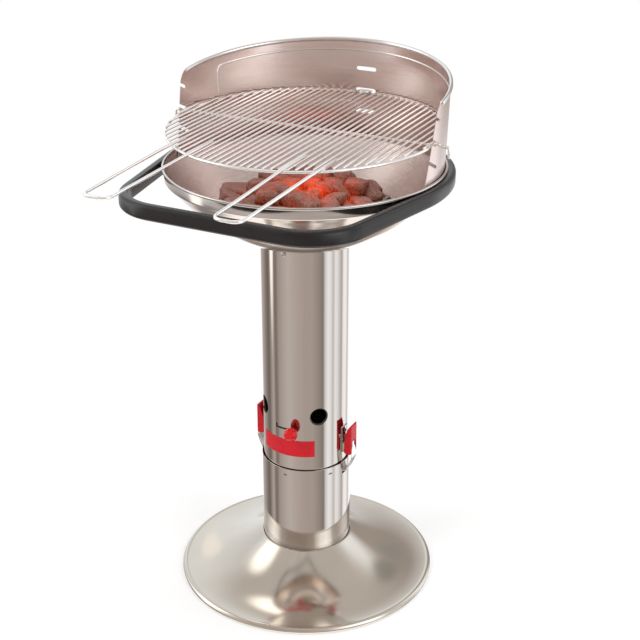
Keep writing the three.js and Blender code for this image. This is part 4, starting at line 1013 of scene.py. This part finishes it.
pores = noise(tree, 260.0, 5.0)
patches = noise(tree, 26.0, 4.0)
# The darkest colours fall in the gaps away from the middle: painted shade.
coat = ramp(tree, added(kept("ash_and_painted_shade"), pores, 3.2, -1.6), [
    (0.0, (0.012, 0.006, 0.005)), (0.15, (0.09, 0.025, 0.008)), (0.36, (0.28, 0.07, 0.02)),
    (0.62, (0.19, 0.07, 0.045)), (1.0, (0.25, 0.135, 0.115)),
])
glow = ramp(tree, added(kept("warmth"), patches, 1.2, -0.6), [
    (0.2, (0, 0, 0)), (0.45, (0.07, 0.005, 0.001)), (0.75, (0.3, 0.012, 0.001)), (1.0, (0.62, 0.035, 0.003)),
])
fill(tree, shader, {"Base Color": coat, "Emission Color": glow, "Emission Strength": 1.0})
bumped(tree, shader, pores, 0.8, 2 * MM)
heap_piece = piece("charcoal_lumps", heap_shape, coal, "charcoal_grate", ["charcoal"], 60)
order = np.unique(np.concatenate([group.ravel() for group in heap_shape[1]]))
for name, values in (("warmth", heat), ("ash_and_painted_shade", ash_and_painted_shade)):
    layer = heap_piece.data.attributes.new(name, "FLOAT", "POINT")
    layer.data.foreach_set("value", values[order].astype(np.float32))

# %% [markdown]
# ## The toggle clips
# Each clip is a hollow red lever on a bracket. The lever is a channel: a face and two cheeks that are
# deep at the pivot and shallow at the tip. At every height one path runs round the channel, cheek,
# face and cheek, and a notch in the face lets the bright hook out. The hook pulls the two tubes
# together when the lever is pressed home.

# %% Clip sizes and flat plates
PIVOT = np.array([95.0, 283.0])
LINK = np.array([96.0, 291.0])
LEVER_FACE, LEVER_TOP, LEVER_SWING, LEVER_SHEET = 101.2, 328.6, 14.4, 1.6
LEVER_HALF, NOTCH_HALF, NOTCH_TOP, CHEEK_DEPTH = 12.5, 8.6, 287.5, 14.6


def placed(points, side):
    """A point of (out, across, up) for the right-hand clip; the left-hand one is turned half round."""
    return points * ([1, 1, 1] if side > 0 else [-1, -1, 1])


def plate(outline, thickness, centre_y, bevel=0.3):
    """A flat plate: an outline of (out, up) whose edge is eased by a narrower ring on each face."""
    outline = np.asarray(outline, float)
    middle = outline.mean(0)
    inset = outline - unit(outline - middle) * bevel
    closed = np.broadcast_to(middle, outline.shape)
    rings = np.stack([closed, inset, outline, outline, inset, closed])
    y = thickness / 2 * np.array([-1, -1, -1, 1, 1, 1]) + bevel * np.array([0, 0, 1, -1, 0, 0]) + centre_y
    points = np.stack(np.broadcast_arrays(rings[..., 0], y[:, None], rings[..., 1]), -1)
    points, faces = welded(points.reshape(-1, 3), [grid_faces(*rings.shape[:2], False, True)])
    return points, outwards(points, faces)


print("the link pin lies", np.round(LINK - PIVOT, 1), "mm from the pivot")


# %% The lever's channel
def lever():
    """A channel of three walls: at each height its path goes cheek, face, cheek.

    The bottom is round about the pivot, so the cheeks clear the column when the lever opens. The
    face has a notch whose top is half round.
    """
    bend, columns = 2.2, 61
    swing = np.linspace(0.12, 1.0, 12)
    low = PIVOT[1] - LEVER_SWING * np.cos(swing * np.radians(62))
    body, tip = np.linspace(low[-1], LEVER_TOP - 1.5, 52)[1:], LEVER_TOP - np.array([0.8, 0.3, 0.0])
    z = np.concatenate([low, body, tip])
    under = z < PIVOT[1]
    beside = np.sqrt(np.maximum(LEVER_SWING**2 - np.minimum(z - PIVOT[1], 0) ** 2, 0))
    upper = np.interp(z, [PIVOT[1], 305, 322, LEVER_TOP], [CHEEK_DEPTH, 13.2, 7.5, 3.2])
    depth = np.where(under, np.minimum(CHEEK_DEPTH, LEVER_FACE - PIVOT[0] + beside), upper)
    edge = LEVER_FACE - np.clip(z - LEVER_TOP + 1.5, 0, None) * 0.3
    edge = np.where(under, np.minimum(edge, PIVOT[0] + beside), edge)
    along, quarter = np.linspace(0, 1, 8)[:-1], np.radians(np.linspace(0, 90, 6))
    side_columns = len(along) + len(quarter)

    def channel(inset):
        """The path at every height, as whole arrays: back to front on one side, across, and back."""
        front, half = (edge - inset)[:, None], LEVER_HALF - inset
        back, r = (LEVER_FACE - depth)[:, None], max(bend - inset, 0.4)
        cheek = back + np.maximum(front - r - back, 0.2) * along
        out = np.concatenate([cheek, front - r + r * np.sin(quarter)], 1)
        across = np.concatenate([np.full(len(along), -half), -half + r - r * np.cos(quarter)])
        level = np.linspace(-half + r, half - r, columns - 2 * side_columns + 2)[1:-1]
        out = np.concatenate([out, np.repeat(front, len(level), 1), out[:, ::-1]], 1)
        across = np.concatenate([across, level, -across[::-1]])
        return np.stack(np.broadcast_arrays(out, across, z[:, None]), -1)

    outer, inner = channel(0.0), channel(LEVER_SHEET)
    cells = grid_faces(len(z), columns)
    middle = outer.reshape(-1, 3)[cells].mean(1)
    top_of_notch = NOTCH_TOP + np.sqrt(np.maximum(NOTCH_HALF**2 - middle[:, 1] ** 2, 0))
    notch = (np.abs(middle[:, 1]) < NOTCH_HALF) & (middle[:, 2] < top_of_notch)
    cap_back = outer[-1].copy()
    cap_back[:, 0] = LEVER_FACE - depth[-1]
    ahead = np.arange(columns - 1) + len(z) * columns
    cap = np.stack([ahead - columns, ahead - columns + 1, ahead + 1, ahead], -1)
    inner[-3:, :, 2] -= LEVER_SHEET
    outer_points = np.concatenate([outer.reshape(-1, 3), cap_back])
    inner_points = np.concatenate([inner.reshape(-1, 3), cap_back - [0, 0, LEVER_SHEET]])
    return shell(outer_points, inner_points, [cells[~notch], cap])


lever_shape = lever()
print("lever points:", len(lever_shape[0]))


# %% Strips, rods and bent sheets
def ribbon(line, width, thickness, bevel=0.35):
    """A strip: a rectangle with eased edges carried along a line of (out, up), its width as given."""
    line, width = np.asarray(line, float), np.asarray(width, float)
    path = np.stack([line[:, 0], np.zeros(len(line)), line[:, 1]], -1)
    y, x = 1.0, thickness / 2
    section = np.array([[-y, x - bevel], [-y, -x + bevel], [-y + 0.04, -x], [y - 0.04, -x],
                        [y, -x + bevel], [y, x - bevel], [y - 0.04, x], [-y + 0.04, x]])
    route, ends = rounded_ends(path, 0.6, 3)
    widths = np.concatenate([np.full(3, width[0]), width, np.full(3, width[-1])]) / 2
    scale = np.stack([ends[:, 0] * widths, ends[:, 1]], -1)
    run = unit(np.gradient(route, axis=0))
    return swept(route, section, np.cross((0, 1, 0), run), scale)


def rod(radius, half_length, ease, place, sides):
    """A turned bar with eased ends that lies across the clip, at a place of (out, up)."""
    profile = [[0, -half_length], [radius - ease, -half_length], [radius, ease - half_length]]
    points, faces = on_radius(profile + [[r, -y] for r, y in profile[::-1]], 90, 0, sides)
    return points + [place[0], 0, place[1]], faces


def curved_sheet(outside, inside, degrees, heights):
    """A sheet bent round the column, from its two radii, its angles and its heights."""
    x, z = np.meshgrid(np.radians(degrees), heights)
    return shell(around(outside, x, z, 0), around(inside, x, z, 0), [grid_faces(*x.shape)])


print("a rod has", len(rod(2.0, 12.0, 0.2, PIVOT, 16)[0]), "points")

# %% The hook's strip and the bracket
HOOK_CORNERS = [
    (99.0, 0, 293.5), (99.4, 0, 284), (100.6, 0, 274.0), (101.4, 0, 262), (95.5, 0, 246), (88.2, 0, 231.2),
    (81.6, 0, 229.6),
]
hook_line = rounded_path(HOOK_CORNERS, 3.0, 6)[:, [0, 2]]
hook_width = np.interp(hook_line[:, 1], [229, 262, 270, 279, 285], [21, 21, 19, 14, 7])
hook_shape = gathered([ribbon(hook_line, hook_width, 1.5), rod(3.0, 7.5, 0.3, LINK, 20)])
BRACKET_OUTSIDE, BRACKET_INSIDE, BRACKET_HALF, EAR_WALL, EAR_MIDDLE = 82.9, 81.4, 10.4, 1.5, 9.65
bracket_degrees = np.degrees(np.linspace(-BRACKET_HALF, BRACKET_HALF, 25) / BRACKET_OUTSIDE)
back_shape = curved_sheet(BRACKET_OUTSIDE, BRACKET_INSIDE, bracket_degrees, np.linspace(270, 322, 30))
nose = arc(PIVOT, 5.5, -100, 100, 12)
ear_outline = np.concatenate([[[82.2, 270.2], [86.5, 277.7]], nose, [[82.2, 290.1]]])
bracket_shape = gathered([back_shape] + [plate(ear_outline, EAR_WALL, y) for y in (-EAR_MIDDLE, EAR_MIDDLE)])
print("hook points:", len(hook_shape[0]), "bracket points:", len(bracket_shape[0]))

# %% Both clips with their pins and rivets
PIVOT_PIN, LINK_PIN, PIN_HALF, RIVET_HEIGHTS = 2.0, 1.6, 12.2, (302.0, 313.0)
rivet_profile = [
    [0, 77.9], [2.6, 78.0], [3.4, 78.9], [3.4, 79.3], [1.8, 79.3], [1.8, 83.2], [3.4, 83.2], [3.4, 83.6],
    [2.5, 84.4], [1.2, 84.6], [0, 84.6],
]
pivot_shape, link_shape = rod(PIVOT_PIN, PIN_HALF, 0.2, PIVOT, 16), rod(LINK_PIN, PIN_HALF, 0.2, LINK, 16)
for side, word in ((1, "right"), (-1, "left")):
    lever_body, hook_body = f"clip_lever_{word}", f"clip_hook_{word}"
    for family, form, shape, look, body, slot in (
        ("clip_lever", "channel", lever_shape, clip_red, lever_body, "red_plastic"),
        ("clip_hook", "strip", hook_shape, hook_steel, hook_body, "chromed_wire"),
        ("clip_bracket", "plate", bracket_shape, column_steel, "stand", "steel"),
        ("clip_pivot_pin", "turned", pivot_shape, screw_steel, "stand", "screws"),
        ("clip_link_pin", "turned", link_shape, screw_steel, lever_body, "screws"),
    ):
        turned_round = (placed(shape[0], side), shape[1])
        piece(f"{family}_{word}_{form}", turned_round, look, body, [f"{family}_{word}"])
    for k, height in enumerate(RIVET_HEIGHTS, 1):
        rivet, node = on_radius(rivet_profile, 90 - 90 * side, height, 20), f"clip_rivet_{word}_{k}"
        piece(f"{node}_dome", rivet, screw_steel, "stand", [node])

# %% [markdown]
# ## Screws and the ash floor
# The screws under the bowl and in the foot have low domed heads; the handle bar's screws sit flat
# inside the band. All are profiles, turned and set on the radius that each one sits on. The ash floor
# is a shallow dish in the foot of the column, near black with soot and painted shade.


# %% Screws
def screw(inner, face, head=2.4, radius=4.2):
    """A low dome outside the face, a shank, and a round nut inside, as (radius, place) pairs."""
    return [
        [0, inner], [radius - 0.3, inner], [radius, inner + 0.3], [radius, inner + 2.3],
        [radius - 0.3, inner + 2.6], [2.1, inner + 2.6], [2.1, face], [radius, face],
        [radius, face + 0.5 * head], [radius - 0.8, face + 0.8 * head], [radius - 2.2, face + head],
        [0, face + head],
    ]


bar_screw = [
    [0, 245.4], [3.9, 245.4], [4.2, 245.7], [4.2, 246.45], [2.1, 246.45], [2.1, 258.3], [1.8, 258.6],
    [0, 258.6],
]
for family, form, profile, height, angles in (
    ("bowl_screw", "dome", screw(75.2, 81.4), 680.0, (-90, 30, 150)),
    ("foot_screw", "dome", screw(78.5, 86.5), 59.0, (30, 150, 270)),
    ("handle_screw", "flat", bar_screw, BAR_HEIGHT, (-6, 186, 15, 165, 38, 142)),
):
    for k, angle in enumerate(angles, 1):
        node = f"{family}_{k}"
        piece(f"{node}_{form}", on_radius(profile, angle, height), screw_steel, "stand", [node])

# %% Ash floor
ash_profile = [
    [0, 68.0], [81.0, 68.0], [81.7, 67.3], [81.7, 54.0], [82.9, 54.0], [82.9, 67.9], [81.6, 69.2], [0, 69.2],
]
piece("ash_floor_dish", turned(ash_profile, 96), soot_and_painted_shade, "stand", ["ash_floor"])

# %% [markdown]
# ## The plate on the column
# A thin red plate lies round the front of the upper tube. It is left bare. It is bent like the clip's
# bracket, so the same function makes it.

# %% Bare plate
PLATE_OUTSIDE, PLATE_INSIDE, PLATE_ANGLES, PLATE_HEIGHTS = 81.7, 81.15, (-130, -51), (279, 312)
plate_degrees, plate_heights = np.linspace(*PLATE_ANGLES, 60), np.linspace(*PLATE_HEIGHTS, 14)
plate_shape = curved_sheet(PLATE_OUTSIDE, PLATE_INSIDE, plate_degrees, plate_heights)
piece("column_plate", plate_shape, plate_red, "stand", ())

# %% [markdown]
# ## Floor, light and camera
# The barbecue stands on a plain pale floor. The camera looks down on it from the front right. Polished
# steel shows the room around it, so the world gives reflections a plain studio: grey on the camera's
# side, white behind the object, and a few soft bright bands between. The camera itself sees white.
# Next to the barbecue the floor is matt and keeps its shadow; further out the camera sees it as plain
# white, so that it has no edge.

# %% Floor
FLOOR_REACH = 30.0
flat_x, flat_y = np.array([-1, 1, 1, -1]) * FLOOR_REACH, np.array([-1, -1, 1, 1]) * FLOOR_REACH
floor_mesh = bpy.data.meshes.new("floor")
floor_mesh.from_pydata(np.stack([flat_x, flat_y, np.zeros(4)], -1).tolist(), [], [(0, 1, 2, 3)])
floor = bpy.data.objects.new("floor", floor_mesh)
bpy.context.scene.collection.objects.link(floor)
floor_look, tree, shader = material("floor_white", (0.9, 0.9, 0.9), 0.9)
tree.nodes.remove(shader)
place = add(tree, "TexCoord").outputs["Object"]
length = add(tree, "VectorMath", {0: place}, operation="LENGTH").outputs["Value"]
edge = ranged(tree, length, (0.2, 0.9, 0.35, 1.0))
camera_ray = add(tree, "LightPath").outputs["Is Camera Ray"]
seen = add(tree, "Math", {0: edge, 1: camera_ray}, operation="MULTIPLY").outputs[0]
diffuse = add(tree, "BsdfDiffuse", {"Color": (0.9, 0.9, 0.9, 1)}).outputs[0]
white = add(tree, "Emission").outputs[0]
mix = add(tree, "MixShader", {"Fac": seen, 1: diffuse, 2: white}).outputs[0]
fill(tree, tree.nodes["Material Output"], {"Surface": mix})
floor_mesh.materials.append(floor_look)
floor.visible_glossy = False
print("floor reaches", FLOOR_REACH, "m each way")

# %% [markdown]
# ### The studio that the steel shows
# The room is worked out from a direction alone. The camera looks down, so the upright column shows
# the room a little below the horizon; a ring of boards of different brightness stands there. The
# shield, the bowl and the foot show a second ring above it, and over both lies an even ceiling. Under
# the lower ring the room is dim, and straight below it is pale. Round soft patches make highlights.

# %% The world's direction
world = bpy.data.worlds.new("studio")
bpy.context.scene.world = world
world.use_nodes = True
tree = world.node_tree
tree.nodes.clear()
direction = add(tree, "TexCoord").outputs["Generated"]
parts = add(tree, "SeparateXYZ", {0: direction}).outputs
turn = add(tree, "Math", {0: parts["Y"], 1: parts["X"]}, operation="ARCTAN2").outputs[0]
fraction = ranged(tree, turn, (-np.pi, np.pi, 0.0, 1.0))
print("world nodes for the direction:", len(tree.nodes))

# %% [markdown]
# #### Boards, ceiling and what lies below
# Each ring of boards is a colour ramp round the horizon, written as degrees from the right and a
# brightness. A dim board is a little warmer than a bright one. The rings, the ceiling and what lies
# below are then laid one over another by the height of the direction.

# %% Helpers for the studio
WARM, COOL = np.array([1.12, 1.0, 0.93]), np.array([0.97, 1.0, 1.03])
EASED = {"interpolation_type": "SMOOTHSTEP"}


def boards(stops):
    """A ramp round the room from (degrees from the right, brightness); dim boards are warmer."""
    degrees, bright = np.array(stops).T
    cool = np.clip((bright - 0.55) / 0.3, 0, 1)[:, None]
    colours = bright[:, None] * (WARM * (1 - cool) + COOL * cool)
    return ramp(tree, fraction, list(zip((degrees + 180) / 360, colours)))


def between(low, high):
    """How far a direction's height lies between two values, eased at both ends."""
    return ranged(tree, parts["Z"], (low, high), **EASED)


def mixed(share, first, second):
    """A colour mix; each side is an output or a plain colour."""
    sides = [side if isinstance(side, bpy.types.NodeSocket) else (*side, 1) for side in (first, second)]
    return add(tree, "Mix", {"Factor": share, 6: sides[0], 7: sides[1]}, data_type="RGBA").outputs[2]


print("dim boards are tinted", WARM, "and bright boards", COOL)

# %% Boards and ceiling
walls = boards([
    (-180, 0.22), (-175, 0.19), (-167, 0.37), (-160, 0.54), (-155, 0.5), (-151, 0.27), (-144, 0.27),
    (-138, 0.45), (-124, 0.56), (-107, 0.66), (-90, 0.58), (-66, 0.51), (-46, 0.5), (-27, 0.38),
    (-16, 0.29), (-11, 0.9), (-2, 1.3), (7, 1.15), (14, 0.76), (21, 1.25), (29, 1.15), (36, 0.87),
    (45, 0.56), (53, 1.3), (66, 1.33), (78, 0.72), (88, 1.3), (125, 1.3), (142, 0.55), (161, 0.42),
    (173, 0.28), (180, 0.22),
])
upper = boards([
    (-180, 1.2), (-173, 1.4), (-158, 1.9), (-145, 1.6), (-132, 0.75), (-112, 0.5), (-88, 0.45), (-66, 0.45),
    (-45, 0.6), (-27, 1.7), (-10, 2.0), (1, 1.6), (10, 0.8), (25, 0.7), (50, 1.2), (66, 1.1), (78, 0.42),
    (98, 0.38), (112, 0.8), (122, 1.0), (140, 1.0), (165, 0.8), (180, 1.1),
])
CEILING, PALE_BELOW, DIM_BELOW = (0.62, 0.58, 0.55), (1.4, 1.33, 1.27), (0.3, 0.27, 0.25)
raised = mixed(between(-0.36, -0.24), walls, upper)
covered = mixed(between(0.55, 0.85), raised, CEILING)
below = mixed(between(-0.84, -0.72), PALE_BELOW, DIM_BELOW)
studio = mixed(between(-0.64, -0.54), below, covered)
print("stops in both rings:", [len(n.color_ramp.elements) for n in tree.nodes if n.type == "VALTORGB"])


# %% [markdown]
# #### Round patches, and who sees the studio
# A round patch lies where a direction is near enough to the patch's middle. Only mirror reflections
# see the studio: the camera sees plain white, and matt surfaces get one even light.


# %% Round patches
def softbox(behind, degrees, height, edge, size, level):
    """A round lit patch: bright where the cosine of the angle to its middle is large enough."""
    a, h = np.radians(degrees), np.radians(height)
    middle = (np.cos(a) * np.cos(h), np.sin(a) * np.cos(h), np.sin(h))
    nearby = add(tree, "VectorMath", {0: direction, 1: middle}, operation="DOT_PRODUCT").outputs["Value"]
    fade = ranged(tree, nearby, np.cos(np.radians([size, edge])), **EASED)
    return mixed(fade, behind, (level * 1.03, level, level * 0.95))


BRIGHT_PATCHES = (-167, 42, 5, 17, 2.0), (133, 64, 4, 12, 2.0), (139, 24, 2, 8, 1.15), (-160, -17, 3, 9, 1.7)
DIM_PATCHES = (80, 40, 1, 10, 0.32), (89, 24, 1, 9, 0.36)
for patch in BRIGHT_PATCHES + DIM_PATCHES:
    studio = softbox(studio, *patch)
print("round patches:", len(BRIGHT_PATCHES + DIM_PATCHES))

# %% Mirror, matt and camera rays
rays = add(tree, "LightPath").outputs
room = add(tree, "Background", {"Color": studio}).outputs[0]
even = add(tree, "Background", {"Color": (1, 0.985, 0.97, 1), "Strength": 0.55}).outputs[0]
white = add(tree, "Background", {"Color": (1, 1, 1, 1)}).outputs[0]
for_glossy = add(tree, "MixShader", {"Fac": rays["Is Glossy Ray"], 1: even, 2: room}).outputs[0]
for_camera = add(tree, "MixShader", {"Fac": rays["Is Camera Ray"], 1: for_glossy, 2: white}).outputs[0]
add(tree, "OutputWorld", {"Surface": for_camera})
print("world nodes:", len(tree.nodes))


# %% [markdown]
# ### Lamps and camera
# Three large soft lamps light the black bar, the plastic and the charcoal, and a small warm one lights
# the bowl from the fire. The steel doesn't show them, because the studio has its own bright patches.


# %% Lamps
def lamp(name, place, target, size, power, colour=(1, 1, 1)):
    """A square soft lamp that looks at a target."""
    light = bpy.data.lights.new(name, "AREA")
    light.size, light.energy, light.color = size, power, colour
    made = bpy.data.objects.new(name, light)
    bpy.context.scene.collection.objects.link(made)
    made.location = place
    made.visible_glossy = False
    look = mathutils.Vector(target) - mathutils.Vector(place)
    made.rotation_euler = look.to_track_quat("-Z", "Y").to_euler()
    print(f"{name}: {power} W, {look.length:.2f} m from its target")


middle = AXIS + [0, 0, 0.55]
lamp("key_lamp", (-1.6, -2.2, 3.0), middle, 1.6, 70)
lamp("fill_lamp", (2.4, -0.6, 2.2), middle, 1.4, 30)
lamp("top_lamp", (0.2, 0.5, 3.6), middle, 2.0, 60)
lamp("ember_light", tuple(AXIS + [0, 0, 0.812]), tuple(AXIS + [0, 0, 1.5]), 0.2, 0.12, (1, 0.3, 0.12))

# %% Camera
CAMERA_PLACE, CAMERA_LOOK = (1.0452, -1.9657, 1.5157), (-0.4192, 0.8113, -0.4076)
camera_data = bpy.data.cameras.new("camera")
camera_data.sensor_width, camera_data.lens = 36.0, 74.5
camera_data.clip_start, camera_data.clip_end = 0.05, 100
camera = bpy.data.objects.new("camera", camera_data)
bpy.context.scene.collection.objects.link(camera)
camera.location = CAMERA_PLACE + AXIS
camera.rotation_euler = mathutils.Vector(CAMERA_LOOK).to_track_quat("-Z", "Y").to_euler()
bpy.context.scene.camera = camera
bpy.context.scene.view_settings.view_transform = "Standard"
print("camera at", np.round(camera.location, 4))
